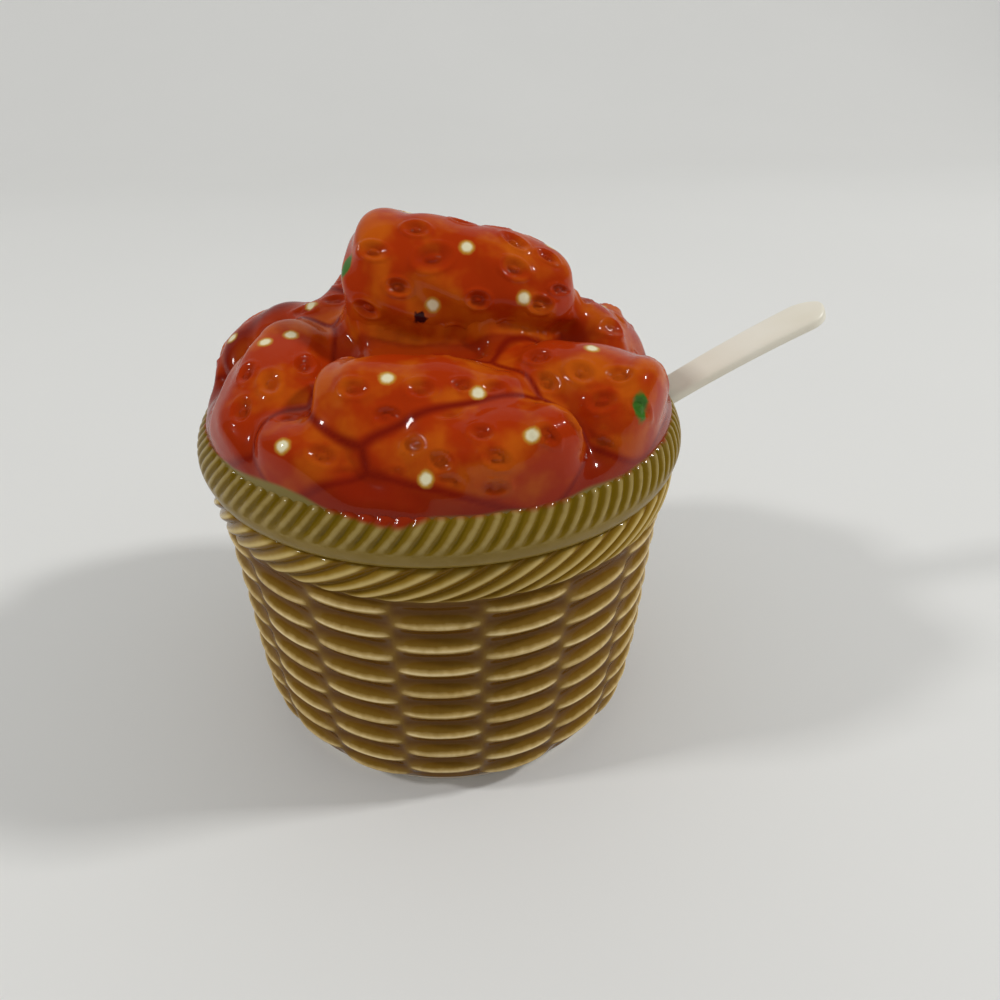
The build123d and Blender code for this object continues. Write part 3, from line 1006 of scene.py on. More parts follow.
def press_pits(points, berry, pits):
    """Height to move each point of a berry by, and how far into a pit it lies."""
    along, turn = berry_place(berry, points)
    pit_along, pit_turn, slant, size = np.array(pits).T
    run = (along[:, None] - pit_along) / size
    around = (turn[:, None] - pit_turn + math.pi) % (2 * math.pi) - math.pi
    around = around * berry_outline(berry, along)[:, None] / size
    lengthwise = run * np.cos(slant) + around * np.sin(slant)
    crosswise = around * np.cos(slant) - run * np.sin(slant)
    pit = np.hypot(lengthwise / PIT_HALF_LENGTH, crosswise / PIT_HALF_WIDTH)
    nearest = pit.argmin(1)
    rows = np.arange(len(points))
    pit = pit[rows, nearest]
    seed = np.hypot(lengthwise / SEED_HALF_LENGTH, crosswise / SEED_HALF_WIDTH)[rows, nearest]
    dent = 1 - smooth_step(PIT_FLAT, 1.0, pit)
    lip = np.exp(-(((pit - LIP_PLACE) / LIP_WIDTH) ** 2))
    grain = 1 - smooth_step(*SEED_EDGE, seed)
    return PIT_LIP * lip - PIT_DEPTH * dent + SEED_RISE * grain, dent


print("pits in rings on the knob:", len(ring_pits(KNOB, 0)))

# %% [markdown]
# ## The camera, and marks found with it
# A few cream dots with an ochre halo and some green dabs are painted over the red glaze, and the
# pits lie where the modeller put them. The ones that the photograph shows are given by their
# pixels. A ray from the camera through each pixel finds where it lands on the skin, so that a mark
# sits on its berry whatever the view. Painting a texture from the photograph would only hold for
# one view.

# %% Camera as the photograph was taken
CAMERA_PLACE = Vector((-15.40, -129.62, POT_TOP + 65.96)) * MM
CAMERA_AIM = Vector((0.1705, 0.8306, -0.5302))
CAMERA_ROLL = math.radians(0.25)
SENSOR = 36.0
LENS = 26.64
PHOTO_SIDE = 1000
OUTLINE_SLACK = 16
CLIP_START = 0.005
FAR_MARK = 9.0

camera = add_object("camera", bpy.data.cameras.new("camera"))
bpy.context.scene.camera = camera
camera.data.lens = LENS
camera.data.sensor_width = SENSOR
camera.data.clip_start = CLIP_START
aim = CAMERA_AIM.to_track_quat("-Z", "Y").to_matrix().to_4x4()
camera.matrix_world = Matrix.Translation(CAMERA_PLACE) @ aim @ Matrix.Rotation(CAMERA_ROLL, 4, "Z")


def seen_point(pixel, skin):
    """Where the ray through a photograph pixel lands on a skin, or just below a near miss."""
    across = (pixel[0] / PHOTO_SIDE - 0.5) * SENSOR / LENS
    for drop in range(OUTLINE_SLACK):
        upward = (0.5 - (pixel[1] + drop) / PHOTO_SIDE) * SENSOR / LENS
        ray = camera.matrix_world.to_3x3() @ Vector((across, upward, -1.0))
        place = skin.ray_cast(CAMERA_PLACE / MM, ray.normalized())[0]
        if place:
            return place
    return None


def spot_distance(points, centres, stretch_up=1.0):
    """Distance of each point from the nearest of some centres, longer marks stretched upwards."""
    best = np.full(len(points), FAR_MARK)
    for centre in centres:
        offset = points - np.array(centre)
        offset[:, 2] /= stretch_up
        best = np.minimum(best, np.linalg.norm(offset, axis=1))
    return best


print(f"camera with a {LENS} mm lens, {CAMERA_PLACE.length:.3f} m from the middle of the foot")

# %% [markdown]
# ## Dressing a skin
# The lists below hold the pixels of what shows on each skin: pits, each with a slant in degrees
# and a size, painted dots and dabs, and one dark chip. On the sides that the camera can't see the
# pits run in rings, and a few dots are listed by bearing and reach. Dressing a skin presses in
# the pits and gives each point the values that its glaze needs: how near it lies to a crease, how
# deep in a pit, and how far from each kind of mark.

# %% Marks that the photograph shows


class Marks(NamedTuple):
    """Photograph pixels of the pits, dots, dabs and chips on one skin."""

    pits: list
    dots: list
    dabs: list
    chips: list


HEAP_MARKS = Marks(
    pits=[
        (353, 388, 10, 1.0), (421, 388, 0, 1.0), (494, 388, 0, 0.9), (388, 417, 15, 1.0),
        (450, 411, -25, 1.05), (463, 385, 0, 0.8), (481, 432, 20, 0.9), (497, 458, 20, 1.0),
        (440, 461, 15, 0.9), (414, 445, 10, 0.8), (395, 478, -10, 0.9), (450, 484, 10, 1.0),
        (496, 488, 0, 0.9), (548, 434, 20, 0.8), (322, 455, 20, 1.0), (346, 479, 10, 1.0),
        (270, 382, -15, 1.1), (305, 365, 15, 1.0), (242, 410, -10, 1.1), (287, 419, 10, 0.9),
        (246, 373, 0, 0.9), (312, 398, 0, 0.9), (538, 356, 10, 1.0), (582, 372, 15, 1.1),
        (619, 375, -15, 1.0), (603, 401, -30, 1.1), (546, 382, 10, 1.0), (641, 407, 0, 1.0),
        (606, 450, 20, 1.0), (575, 425, 15, 0.9),
    ],
    dots=[
        (387, 378), (478, 393), (532, 435), (426, 479), (282, 446),
        (291, 335), (265, 342), (311, 305), (592, 348),
    ],
    dabs=[(641, 407)],
    chips=[],
)
KNOB_MARKS = Marks(
    pits=[
        (416, 228, 5, 1.0), (433, 257, -20, 1.45), (515, 241, 25, 1.1), (515, 268, 10, 1.1),
        (462, 222, 0, 0.9), (548, 256, 30, 0.9), (367, 309, 15, 1.0), (373, 250, 10, 1.1),
        (398, 287, 10, 0.9), (540, 305, 15, 1.0), (478, 300, 5, 0.9), (455, 332, 10, 0.9),
        (505, 328, 0, 0.9), (392, 336, 5, 0.9), (560, 290, 0, 0.8),
    ],
    dots=[(409, 211), (467, 247), (433, 305), (524, 298), (551, 245)],
    dabs=[(346, 266)],
    chips=[(420, 318)],
)
BACK_DOTS = [(60, 33), (95, 24), (130, 36), (20, 37), (165, 39), (110, 38), (75, 40)]
print("pits that show:", len(HEAP_MARKS.pits), "on the heap,", len(KNOB_MARKS.pits), "on the knob")

# %% Pits that show and pits that don't


def seen_pits(points, skin, berries, owner, pixels):
    """Pits that the photograph shows, as places on the berries that own them."""
    found = {number: [] for number in range(len(berries))}
    for across, down, slant, size in pixels:
        place = np.array(seen_point((across, down), skin))
        number = owner[np.linalg.norm(points - place, axis=1).argmin()]
        if number in found:
            along, turn = berry_place(berries[number], place)
            found[number].append(Pit(along, turn, math.radians(slant), size))
    return found


def hidden_pits(berry, pits):
    """Those pits of a berry that face away from the camera."""
    cap, axis, side, over = berry_axes(berry)
    kept = []
    for pit in pits:
        out = side * math.cos(pit.turn) + over * math.sin(pit.turn)
        place = cap + axis * pit.along + out * berry.radius
        if out @ (np.array(CAMERA_PLACE / MM) - place) < 0:
            kept.append(pit)
    return kept


print("ring pits on the knob's far side:", len(hidden_pits(KNOB, ring_pits(KNOB, 0))))

# %% Dressing a skin
DAB_STRETCH = 2.0
HOLLOW_CREASE = 0.6
PIT_FADE = (0.6, 2.2)
DROP_HEIGHT = 200.0


def landed(pixels, skin):
    """Places where the rays through some photograph pixels land on a skin."""
    places = [seen_point(pixel, skin) for pixel in pixels]
    return [place for place in places if place]


def dropped(bearings, skin):
    """Places right below some bearings in degrees and reaches from the axis."""
    places = []
    for bearing, reach in bearings:
        turn = math.radians(bearing)
        above = Vector((reach * math.cos(turn), reach * math.sin(turn), DROP_HEIGHT))
        places.append(skin.ray_cast(above, Vector((0, 0, -1)))[0])
    return places


def dress_skin(points, faces, normals, berries, marks, back_dots=(), others=()):
    """Press the pits into a skin and measure what the glaze needs to know."""
    gaps = np.stack([berry_distance(points.T, berry) for berry in berries] + list(others), 1)
    ranked = np.sort(gaps, 1)
    crease = np.full(len(points), FAR_MARK)
    if gaps.shape[1] > 1:
        crease = ranked[:, 1] - ranked[:, 0]
    owner = gaps.argmin(1)
    crease = np.where(owner < len(berries), crease, np.minimum(crease, HOLLOW_CREASE))
    lift = np.zeros(len(points))
    pit = np.zeros(len(points))
    skin = BVHTree.FromPolygons(points.tolist(), faces.tolist())
    shown = seen_pits(points, skin, berries, owner, marks.pits)
    for number, berry in enumerate(berries):
        mine = owner == number
        pits = ring_pits(berry, number)
        if shown[number]:
            pits = hidden_pits(berry, pits) + shown[number]
        lift[mine], pit[mine] = press_pits(points[mine], berry, pits)
    plain = smooth_step(*PIT_FADE, crease)
    points = points + normals * (lift * plain)[:, None]
    skin = BVHTree.FromPolygons(points.tolist(), faces.tolist())
    dots = landed(marks.dots, skin) + dropped(back_dots, skin)
    return points, {
        "crease": np.minimum(crease, FAR_MARK),
        "pit": pit * plain,
        "dot": spot_distance(points, dots),
        "dab": spot_distance(points, landed(marks.dabs, skin), DAB_STRETCH),
        "chip": spot_distance(points, landed(marks.chips, skin)),
    }


def mesh_piece(name, points, faces, values, material):
    """A smooth object from points in millimetres, with values stored on its points."""
    mesh = bpy.data.meshes.new(name)
    mesh.from_pydata((points * MM).tolist(), [], faces)
    for label, data in values.items():
        store(mesh, label, data)
    mesh.shade_smooth()
    mesh.materials.append(material)
    print(f"{name}: {len(faces)} faces")
    return add_object(name, mesh)


print("dots at the back:", len(BACK_DOTS))

# %% [markdown]
# ## The berry glaze
# The red is a thick, glossy glaze. It is brushed on unevenly, so crowns show more orange, and it
# runs into the creases, where it fires dark. Lower on the heap the red is darkened as painted
# shade, since the light falls from above. Near the rim it meets the olive glaze of the rope in a
# wavy line. Both lid pieces share that line, which is why it is read from their place and not from
# the mesh.

# %% Berry glaze
RED = (172, 50, 7)
ORANGE = (196, 90, 14)
DEEP_RED = (122, 24, 8)
DOT_CREAM = (236, 228, 190)
DOT_HALO = (200, 156, 58)
LEAF_GREEN = (62, 112, 38)
CHIP_DARK = (58, 14, 18)
SKIRT_OLIVE = (128, 112, 56)
RUN_RED = (146, 40, 10)
GLAZE_LINE = RIM_TOP + 0.2
LINE_EDGE = (-0.55, 0.45)
GLAZE_WAVE = 2.2
WAVE_SCALE = 105.0
WAVE_FLATTEN = (1.0, 1.0, 0.2)
GLAZE_RUNS = [(-13.0, 6.0, -1.5), (-30.0, 8.0, 1.0)]
FRONT_REACH = 10.0
# Painted shade: how much of the red is left at the foot of the heap.
LOW_SHADE_TONE = 0.52
CROWN_EDGE = (-0.15, 1.4)
PATCH_SCALE = 120.0
PATCH_EDGE = (0.42, 0.66)
STREAK_SCALE = 420.0
STREAK_BASE = 0.55
STREAK_SHARE = 0.7
PIT_TONE = 0.3
BRUSH_SCALE = 900.0
BRUSH_SHARE = 0.7
DOT_BRUSH = 0.6
CHIP_BRUSH = 2.5
HALO_EDGE = (1.6, 0.95)
HALO_SHARE = 0.85
DOT_EDGE = (1.15, 0.6)
DAB_EDGE = (1.7, 1.0)
CHIP_EDGE = (1.25, 0.75)
INSIDE_EDGE = (0.4, 0.6)


def place_of(start):
    """Place of a surface point, as a wire to its X with Y and Z beside it."""
    where = start.node("ShaderNodeTexCoord", out="Object")
    return start.node("ShaderNodeSeparateXYZ", sockets={0: where})


def level_of(start):
    """Height of a surface point in millimetres."""
    return place_of(start).other("Z") * (1 / MM)


def low_heap_shade(start):
    """Painted shade: the red darkens low on the heap, where less light falls, and is full high on
    it.
    """
    return LOW_SHADE_TONE + level_of(start).ease(RIM_TOP, KNOB_SEAT) * (1 - LOW_SHADE_TONE)


def red_share(start):
    """1 where the red glaze lies, 0 below the wavy line where it ends over the rim."""
    where = start.node("ShaderNodeTexCoord", out="Object")
    times = {"operation": "MULTIPLY"}
    flat = start.node("ShaderNodeVectorMath", times, {0: where, 1: WAVE_FLATTEN})
    wander = (noise(start, WAVE_SCALE, 1.0, flat) - 0.5) * GLAZE_WAVE
    place = place_of(start)
    at_front = (place.other("Y") * (1 / MM)).ease(0.0, -FRONT_REACH)
    for middle, width, depth in GLAZE_RUNS:
        away = (place * (1 / MM) - middle) / width
        wander = wander + at_front * (0 - away * away).of("EXPONENT") * depth
    return (level_of(start) - GLAZE_LINE - wander).ease(*LINE_EDGE)


def painted(start, body):
    """The red body with its dots, dabs and chip over it."""
    brush = (noise(start, BRUSH_SCALE) - 0.5) * BRUSH_SHARE
    dot = attribute(start, "dot") + brush * DOT_BRUSH
    dab = attribute(start, "dab") + brush
    chip = attribute(start, "chip") + brush * CHIP_BRUSH
    body = (dot.ease(*HALO_EDGE) * HALO_SHARE).mix(body, DOT_HALO)
    body = dot.ease(*DOT_EDGE).mix(body, DOT_CREAM)
    body = dab.ease(*DAB_EDGE).mix(body, LEAF_GREEN)
    return chip.ease(*CHIP_EDGE).mix(body, CHIP_DARK)


def berry_glaze():
    """Red glaze of the heap and the knob, with the pale inside of the lid."""
    material, shader, start = new_material("berry_glaze")
    crown = attribute(start, "crease").ease(*CROWN_EDGE)
    patch = noise(start, PATCH_SCALE, 3.0).ease(*PATCH_EDGE)
    streak = STREAK_BASE + noise(start, STREAK_SCALE, 3.0) * STREAK_SHARE
    body = (crown * patch * streak).mix(RED, ORANGE)
    out_of_pit = 1 - attribute(start, "pit") * PIT_TONE
    # The red darkens in creases and pits, and low on the heap as painted shade.
    body = (crown * low_heap_shade(start) * out_of_pit).mix(DEEP_RED, body)
    outside = red_share(start).mix(SKIRT_OLIVE, painted(start, body))
    inside = attribute(start, "inside").ease(*INSIDE_EDGE)
    feed(shader, Base_Color=inside.mix(outside, INSIDE_GLAZE), Roughness=0.25)
    feed(shader, Specular_IOR_Level=SOFT_SHINE, Coat_Weight=0.28, Coat_Roughness=0.03)
    return material


berry_finish = berry_glaze()
print("berry glaze:", len(berry_finish.node_tree.nodes), "nodes")

# %% [markdown]
# ## The heap and the knob
# Both skins are meshed from their fields, dressed and given the berry glaze. The dome counts as
# one more neighbour of the berries, so that glaze pools where a berry meets it. Points in the
# hollow are marked, because the lid is pale inside, and the cove under the knob stays as light as
# a crown.

# %% The heap
HEAP_CELL = 0.51
HEAP_LOW = (-44.0, -44.0, HEAP_FOOT - 1.0)
HEAP_HIGH = (44.0, 44.0, POT_TOP + 30.5)
INSIDE_SLACK = 0.12
HOLLOW_GAP = -20.0
COVE_FADE = 2.6
COVE_CROWN = 1.6

heap_points, heap_faces, heap_normals = surface_net(heap_field, HEAP_LOW, HEAP_HIGH, HEAP_CELL)
under = in_hollow(heap_points.T) > -INSIDE_SLACK
dome_gap = np.where(under, HOLLOW_GAP, over_dome(heap_points.T))
heap_skin, heap_values = dress_skin(
    heap_points, heap_faces, heap_normals, HEAP, HEAP_MARKS, BACK_DOTS, [dome_gap]
)
near_knob = smooth_step(COVE_FADE, COVE_INSET, berry_distance(heap_points.T, KNOB))
heap_values["crease"] = np.maximum(heap_values["crease"], near_knob * COVE_CROWN)
heap_values["inside"] = under.astype(float)
berry_heap = mesh_piece("berry_heap", heap_skin, heap_faces.tolist(), heap_values, berry_finish)

# %% The knob
KNOB_CELL = 0.30
KNOB_LOW = (-22.0, -14.0, KNOB_SEAT - 1.0)
KNOB_HIGH = (27.0, 17.0, KNOB_SEAT + 24.0)

knob_points, knob_faces, knob_normals = surface_net(knob_field, KNOB_LOW, KNOB_HIGH, KNOB_CELL)
knob_skin, knob_values = dress_skin(knob_points, knob_faces, knob_normals, [KNOB], KNOB_MARKS)
knob_values["inside"] = np.zeros(len(knob_skin))
knob_berry = mesh_piece("knob_berry", knob_skin, knob_faces.tolist(), knob_values, berry_finish)

# %% [markdown]
# ## The rope rim
# The lid's rim is a moulded rope that sits on the pot's mouth, with a plain flange inside it that
# keeps the lid from sliding. The glaze is olive and thinner than the basket's, and the red of the
# berries runs over its top edge. Its rounded foot at the seam is painted dark brown, as painted
# shade of the narrow gap between lid and pot.

# %% Rope rim glaze
# Painted shade: the dark line of the seam under the rim's foot.
SEAM_SHADE_BROWN = (46, 32, 10)
RIM_GROOVE = (112, 88, 8)
RIM_OLIVE = (122, 97, 22)
RIM_CREAM = (160, 138, 80)
RIM_LIP = (142, 118, 56)
RIM_RAMP = [(0.2, RIM_GROOVE), (0.7, RIM_OLIVE), (0.97, RIM_CREAM)]
RIM_GRAIN_SHARE = 0.3
LIP_SCALE = 300.0
LIP_SHARE = 1.2


def rim_glaze():
    """Olive glaze of the rope rim, under the red that runs over it."""
    material, shader, start = new_material("rim_glaze")
    grain = (noise(start, GRAIN_SCALE, GRAIN_DETAIL) - 0.5) * RIM_GRAIN_SHARE
    rope = (attribute(start, "glaze") + grain).ramp(*RIM_RAMP)
    plain = (noise(start, LIP_SCALE, 3.0) * LIP_SHARE).mix(RIM_OLIVE, RIM_LIP)
    # The seam zone paints the rim's foot with the dark brown of painted shade.
    olive = zone_mix(start, SEAM_SHADE_BROWN, plain, rope, INSIDE_GLAZE)
    feed(shader, Base_Color=red_share(start).mix(olive, RUN_RED), Roughness=0.28)
    feed(shader, Specular_IOR_Level=SOFT_SHINE, Coat_Weight=0.35, Coat_Roughness=0.04)
    return material


rim_finish = rim_glaze()
print("rim glaze:", len(rim_finish.node_tree.nodes), "nodes")

# %% [markdown]
# The rim is turned with the same tree as the pot, only without a weave. A Boolean then cuts the
# arched notch for the spoon, and the cut faces are put into the plain olive zone.

# %% Rope rim
RIM_FOOT_RADIUS = 43.9
RIM_WAIST_RADIUS = 45.0
RIM_TOP_RADIUS = 43.0
RIM_STRANDS = 100
RIM_RISE = 0.6
RIM_TWIST = math.radians(4.6)
RIM_POINTS = 7
ROPE_FOOT = POT_TOP + 3.2
ROPE_END = RIM_TOP - 0.5
ROPE_STEPS = 26
ROPE_FADE = 0.34
EDGE_ROUND = 0.5
EDGE_STEPS = 4
SMOOTH_STEPS = 5
SEAT_STEP = 1.5
RIM_CROWN = [
    (42.35, RIM_TOP),
    (41.9, RIM_TOP + 0.25),
    (41.2, RIM_TOP + 0.3),
    (40.4, RIM_TOP + 0.2),
]
CROWN_FADE = np.array([0.9, 0.6, 0.2, 0.0])
UNDER_HEAP = [
    (39.4, RIM_TOP - 1.5),
    (38.6, HOLLOW_SPRING + 1.5),
    (37.4, HOLLOW_SPRING + 0.3),
]


def rim_radius(height):
    """Radius of the rim's rounded face, through its foot, its waist and its top."""
    share = (height - POT_TOP) / RIM_HEIGHT
    foot, waist, top = RIM_FOOT_RADIUS, RIM_WAIST_RADIUS, RIM_TOP_RADIUS
    return foot + (4 * waist - 3 * foot - top) * share + 2 * (foot + top - 2 * waist) * share**2


def rim_profile():
    """The rim's closed outline: outer face, top, then the flange and the seat on the pot."""
    share = np.linspace(0, 1, ROPE_STEPS)
    heights = np.linspace(ROPE_FOOT, ROPE_END, ROPE_STEPS)
    fade = np.clip(share / ROPE_FADE, 0, 1) ** 0.7
    rope = np.stack([rim_radius(heights) - RIM_RISE * fade, heights], 1)
    lip_heights = np.linspace(POT_TOP + EDGE_ROUND, ROPE_FOOT, SMOOTH_STEPS, endpoint=False)
    seat = (RIM_FOOT_RADIUS - EDGE_ROUND, POT_TOP)
    edge = arc((seat[0], POT_TOP + EDGE_ROUND), EDGE_ROUND, -90, 0, EDGE_STEPS)
    spring, foot = (HOLLOW_RADIUS, HOLLOW_SPRING), (HOLLOW_RADIUS, LID_FOOT + EDGE_ROUND)
    wall = line(spring, foot, SMOOTH_STEPS)
    untwist = RIM_TWIST * np.linspace(1, 0, len(wall))
    flange = [
        (HOLLOW_RADIUS + EDGE_ROUND, LID_FOOT),
        (FLANGE_RADIUS - EDGE_ROUND, LID_FOOT),
        (FLANGE_RADIUS, LID_FOOT + EDGE_ROUND),
        (FLANGE_RADIUS, POT_TOP - EDGE_ROUND),
        (FLANGE_RADIUS + EDGE_ROUND, POT_TOP),
        (seat[0] - SEAT_STEP, POT_TOP),
        seat,
    ]
    return [
        # The rounded foot at the seam, painted dark as its shade.
        stretch(edge, SEAM_SHADE_ZONE),
        stretch(np.stack([rim_radius(lip_heights), lip_heights], 1), WEAVE_ZONE),
        stretch(rope, ROPE_ZONE, roped=fade, turn=RIM_TWIST * share),
        stretch(RIM_CROWN, ROPE_ZONE, roped=CROWN_FADE, turn=RIM_TWIST),
        stretch(UNDER_HEAP, INSIDE_ZONE, turn=RIM_TWIST),
        stretch(wall, INSIDE_ZONE, turn=untwist),
        stretch(flange, INSIDE_ZONE),
    ]


rope_rim = turned_piece(
    "rope_rim",
    rim_profile(),
    RIM_STRANDS * RIM_POINTS,
    rim_finish,
    {
        "Rope Strands": float(RIM_STRANDS),
        "Rope Rise": RIM_RISE * MM,
        "Plain Glaze": LIP_GLAZE,
        "Row Pitch": 1.0,
        "Columns": 1.0,
    },
)

# %% Notch for the spoon
NOTCH_STEPS = 8
CUT_BELOW = 2.0
CUT_BEYOND = 3.0
CUT_SLACK = 0.05


def notch_cutter():
    """A prism with the outline of the spoon notch."""
    spring = NOTCH_TOP - NOTCH_ROUND
    bend = NOTCH_HALF - NOTCH_ROUND
    below = LID_FOOT - CUT_BELOW
    right = arc((bend, spring), NOTCH_ROUND, 0, 90, NOTCH_STEPS).tolist()
    left = arc((-bend, spring), NOTCH_ROUND, 90, 180, NOTCH_STEPS).tolist()
    outline = [(NOTCH_HALF, below), *right, *left, (-NOTCH_HALF, spring), (-NOTCH_HALF, below)]
    count = len(outline)
    ends = (NOTCH_START, RIM_WAIST_RADIUS + CUT_BEYOND)
    points = [(x * MM, y * MM, z * MM) for x in ends for y, z in outline]
    sides = [(n, (n + 1) % count, (n + 1) % count + count, n + count) for n in range(count)]
    caps = [tuple(reversed(range(count))), tuple(range(count, 2 * count))]
    mesh = bpy.data.meshes.new("notch")
    mesh.from_pydata(points, [], [*caps, *sides])
    mesh.materials.append(rim_finish)
    return add_object("notch", mesh)


cutter = notch_cutter()
cut = rope_rim.modifiers.new("notch", "BOOLEAN")
cut.object = cutter
cut.operation = "DIFFERENCE"
cut.solver = "EXACT"
make_plain(rope_rim, cut)
bpy.data.objects.remove(cutter)
rim_points = np.array([vertex.co for vertex in rope_rim.data.vertices]) / MM
rim_zones = rope_rim.data.attributes["zone"].data
for number in np.flatnonzero(np.abs(notch_field(rim_points.T)) < CUT_SLACK):
    rim_zones[int(number)].value = WEAVE_ZONE
print("rope rim with its notch:", len(rope_rim.data.polygons), "faces")

# %% [markdown]
# ## The spoon
# The spoon is one moulding in white plastic. Its section changes all along: a thin dished bowl, a
# narrow neck, a flat shank and a handle that droops a little and ends round. A loft through
# sections does that, so each station is a flattened ring, and the bowl's dish bends the ring down.

# %% Spoon
SPOON_SLOPE = math.radians(30.0)
REST_GAP = 3.3
SHANK_THICKNESS = 2.8
TIP_RUN = -83.5
BOWL_LENGTH = 31.0
BOWL_HALF_WIDTH = 11.0
BOWL_DEPTH = 5.0
BOWL_WALL = 1.6
NECK_HALF = 2.1
NECK_TAPER = 11.0
NECK_RUN = -42.0
NECK_BLEND = 4.0
BOWL_LIP = 3.0
SHANK_HALF = 4.0
BEND_RUN = 8.1
HANDLE_LENGTH = 29.0
HANDLE_HALF = 4.7
HANDLE_DROOP = math.radians(6.0)
END_SWEEP = math.radians(87.0)
SECTION_POINTS = 48
SECTION_SQUARE = 0.55
TIP_STATIONS = 24
MIDDLE_STATIONS = 90
END_STATIONS = 14
THINNING_WIDTH = 1.2
THINNEST = 0.02

end_run = BEND_RUN + HANDLE_LENGTH
bowl_middle = TIP_RUN + BOWL_LENGTH / 2
lip_centre = (MOUTH_RADIUS + LIP_ROUND, POT_TOP - LIP_ROUND)
rest_point = (
    lip_centre[0] - math.sin(SPOON_SLOPE) * REST_GAP,
    lip_centre[1] + math.cos(SPOON_SLOPE) * REST_GAP,
)


def bowl_share(run):
    """1 in the middle of the bowl, falling to 0 at its two ends."""
    return np.clip(1 - ((run - bowl_middle) / (BOWL_LENGTH / 2)) ** 2, 0, 1)


def spoon_half_width(run):
    """Half the spoon's width: the bowl's ellipse, the neck and shank, and the round end."""
    bowl = BOWL_HALF_WIDTH * np.sqrt(bowl_share(run))
    bar = np.interp(run, [NECK_RUN, BEND_RUN, end_run], [NECK_HALF, SHANK_HALF, HANDLE_HALF])
    bar = bar * (run > bowl_middle)
    past_end = np.maximum(run - end_run, 0)
    end = np.sqrt(np.clip(HANDLE_HALF**2 - past_end**2, 0, None))
    return np.minimum(smooth_max(bowl, bar, NECK_BLEND), np.where(run > end_run, end, np.inf))


def spoon_middle(run):
    """Place of the shank's middle line and its lean, straight to the bend and drooping beyond."""
    droop = HANDLE_DROOP * np.maximum(run - BEND_RUN, 0) / HANDLE_LENGTH
    straight = np.minimum(run, BEND_RUN)
    bend = HANDLE_LENGTH / HANDLE_DROOP
    x = rest_point[0] + straight * math.cos(SPOON_SLOPE)
    z = rest_point[1] + straight * math.sin(SPOON_SLOPE)
    x = x + bend * (math.sin(SPOON_SLOPE) - np.sin(SPOON_SLOPE - droop))
    z = z + bend * (np.cos(SPOON_SLOPE - droop) - math.cos(SPOON_SLOPE))
    return x, z, SPOON_SLOPE - droop


def spoon_stations():
    """Runs along the spoon, closer together at its two rounded ends."""
    quarter = np.linspace(0, math.pi / 2, TIP_STATIONS)
    tip = TIP_RUN + BOWL_LENGTH / 2 * (1 - np.cos(quarter))
    middle = np.linspace(bowl_middle, end_run, MIDDLE_STATIONS)[1:]
    end = end_run + HANDLE_HALF * np.sin(np.linspace(0, END_SWEEP, END_STATIONS))[1:]
    return np.concatenate([tip, middle, end])


def squared(value):
    """A sine or cosine pushed outwards, which squares up a round section."""
    return np.sign(value) * np.abs(value) ** SECTION_SQUARE


def spoon_mesh():
    """Points and faces of the spoon, ring by ring from the tip of its bowl to its round end."""
    runs = spoon_stations()[:, None]
    turn = np.linspace(0, 2 * math.pi, SECTION_POINTS, endpoint=False)[None, :]
    half = spoon_half_width(runs)
    aside = half * squared(np.cos(turn))
    lengthwise = bowl_share(runs)
    crosswise = 1 - (aside / BOWL_HALF_WIDTH) ** 2 / np.maximum(lengthwise, 1e-3)
    dish = (BOWL_DEPTH - BOWL_WALL) * lengthwise * np.clip(crosswise, 0, 1)
    bowl_end = TIP_RUN + BOWL_LENGTH - BOWL_LIP
    taper = [bowl_end, bowl_end + NECK_TAPER]
    thickness = np.interp(runs, taper, [BOWL_WALL, SHANK_THICKNESS])
    round_off = np.clip(half / THINNING_WIDTH, THINNEST, 1) ** 0.5
    middle = SHANK_THICKNESS / 2 - dish - thickness / 2
    height = middle + thickness / 2 * squared(np.sin(turn)) * round_off
    x, z, lean = spoon_middle(runs)
    points = np.stack([x - height * np.sin(lean), aside, z + height * np.cos(lean)], -1)
    rings, around = points.shape[:2]
    n, m = np.meshgrid(np.arange(rings - 1) * around, np.arange(around), indexing="ij")
    after = (m + 1) % around
    sides = np.stack([n + m, n + after, n + around + after, n + around + m], -1)
    tip_cap = list(range(around))[::-1]
    end_cap = list(range((rings - 1) * around, rings * around))
    return points.reshape(-1, 3), [*sides.reshape(-1, 4).tolist(), tip_cap, end_cap]


print(f"spoon {end_run + HANDLE_HALF - TIP_RUN:.0f} mm long, its neck {2 * NECK_HALF} mm wide")

# %% Spoon plastic and spoon
WHITE_PLASTIC = (248, 243, 228)
IVORY_PLASTIC = (238, 231, 210)
TONE_SCALE = 60.0
WEAR_SCALE = 900.0


def spoon_plastic():
    """White plastic, a little uneven in tone and in gloss."""
    material, shader, start = new_material("spoon_plastic")
    tone = noise(start, TONE_SCALE).ramp((0.3, WHITE_PLASTIC), (0.7, IVORY_PLASTIC))
    feed(shader, Base_Color=tone, Roughness=0.3 + noise(start, WEAR_SCALE) * 0.1)
    feed(shader, Specular_IOR_Level=0.5)
    return material


spoon_points, spoon_faces = spoon_mesh()
jam_spoon = mesh_piece("jam_spoon", spoon_points, spoon_faces, {}, spoon_plastic())

# %% [markdown]
# ## Floor and light
# The pot stands on a sheet of pale paper that sweeps up behind it, so no horizon shows. Two small
# lamps stand to the right and to the left and throw the two faint shadows, and the even light of
# the room does the rest. Glaze mirrors what is round it. A room is darker than its lamps, so the
# world shows itself dimmer to mirror rays, which keeps the reds deep.

# %% Floor and light
PAPER = (238, 238, 235)
PAPER_SHADE = (232, 232, 229)
PAPER_HALF_WIDTH = 3.0
PAPER_FRONT = -3.0
SWEEP_START = 0.7
SWEEP_RADIUS = 0.8
PAPER_TOP = 3.0
SWEEP_STEPS = 24
ROOM_LIGHT = 0.42
ROOM_MIRRORED = 0.05
LAMP_SIZE = 0.2
LAMPS = {
    "right_lamp": ((1.35, -0.2, 1.25), 12.5),
    "left_lamp": ((-1.35, -0.1, 1.25), 8.5),
}


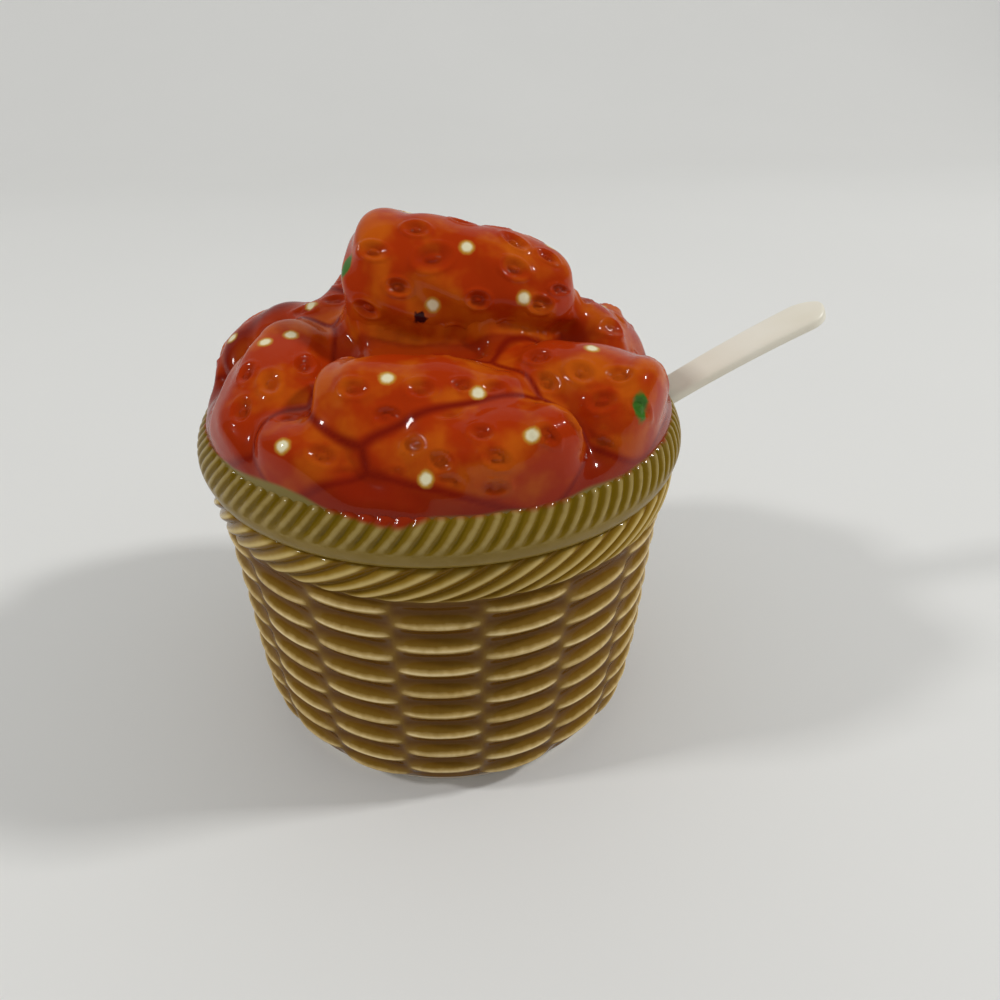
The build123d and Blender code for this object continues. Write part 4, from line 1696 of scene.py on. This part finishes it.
def paper_sheet():
    """A sheet that lies flat under the pot and curves up behind it."""
    sweep = arc((SWEEP_START, SWEEP_RADIUS), SWEEP_RADIUS, -90, 0, SWEEP_STEPS).tolist()
    outline = [(PAPER_FRONT, 0.0), *sweep, (SWEEP_START + SWEEP_RADIUS, PAPER_TOP)]
    points = [(x, y, z) for y, z in outline for x in (-PAPER_HALF_WIDTH, PAPER_HALF_WIDTH)]
    faces = [(2 * n, 2 * n + 1, 2 * n + 3, 2 * n + 2) for n in range(len(outline) - 1)]
    mesh = bpy.data.meshes.new("paper")
    mesh.from_pydata(points, [], faces)
    mesh.shade_smooth()
    material, shader, start = new_material("pale_paper")
    feed(shader, Base_Color=noise(start, 3.0, 3.0).mix(PAPER, PAPER_SHADE), Roughness=0.6)
    mesh.materials.append(material)
    return add_object("paper", mesh)


def soft_lamp(name, place, power):
    """A square lamp that shines at the middle of the pot's foot."""
    lamp = bpy.data.lights.new(name, "AREA")
    lamp.size = LAMP_SIZE
    lamp.energy = power
    light = add_object(name, lamp)
    light.location = place
    light.rotation_euler = (-Vector(place)).to_track_quat("-Z", "Y").to_euler()


paper_sheet()
for lamp_name, (lamp_place, lamp_power) in LAMPS.items():
    soft_lamp(lamp_name, lamp_place, lamp_power)
world = bpy.data.worlds.new("room")
bpy.context.scene.world = world
world.use_nodes = True
background = world.node_tree.nodes["Background"]
mirrored = Wire(world.node_tree).node("ShaderNodeLightPath", out="Is Glossy Ray")
dimming = mirrored * (ROOM_MIRRORED - ROOM_LIGHT)
feed(background, Color=(1, 1, 1, 1), Strength=ROOM_LIGHT + dimming)
bpy.context.scene.view_settings.view_transform = "Standard"
print("lamps:", ", ".join(LAMPS))

# %% [markdown]
# ## Joining the frame
# Each piece rides on the body that carries it, so it moves with that body's joint, and takes the
# place of its CAD node. The lid's rim and heap are one casting, so both stand for the same node.

# %% Ride and replace
PIECES = {
    "pot": [(basket_pot, "pot", "basket_glaze")],
    "lid": [
        (rope_rim, "lid", "basket_glaze"),
        (berry_heap, "lid", "berry_glaze"),
        (knob_berry, "berry_knob", "berry_glaze"),
    ],
    "spoon": [(jam_spoon, "spoon", "spoon_plastic")],
}
for body, pieces in PIECES.items():
    for piece, node, slot in pieces:
        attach(piece, body)
        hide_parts(node)
        print(piece.name, "rides on", body)
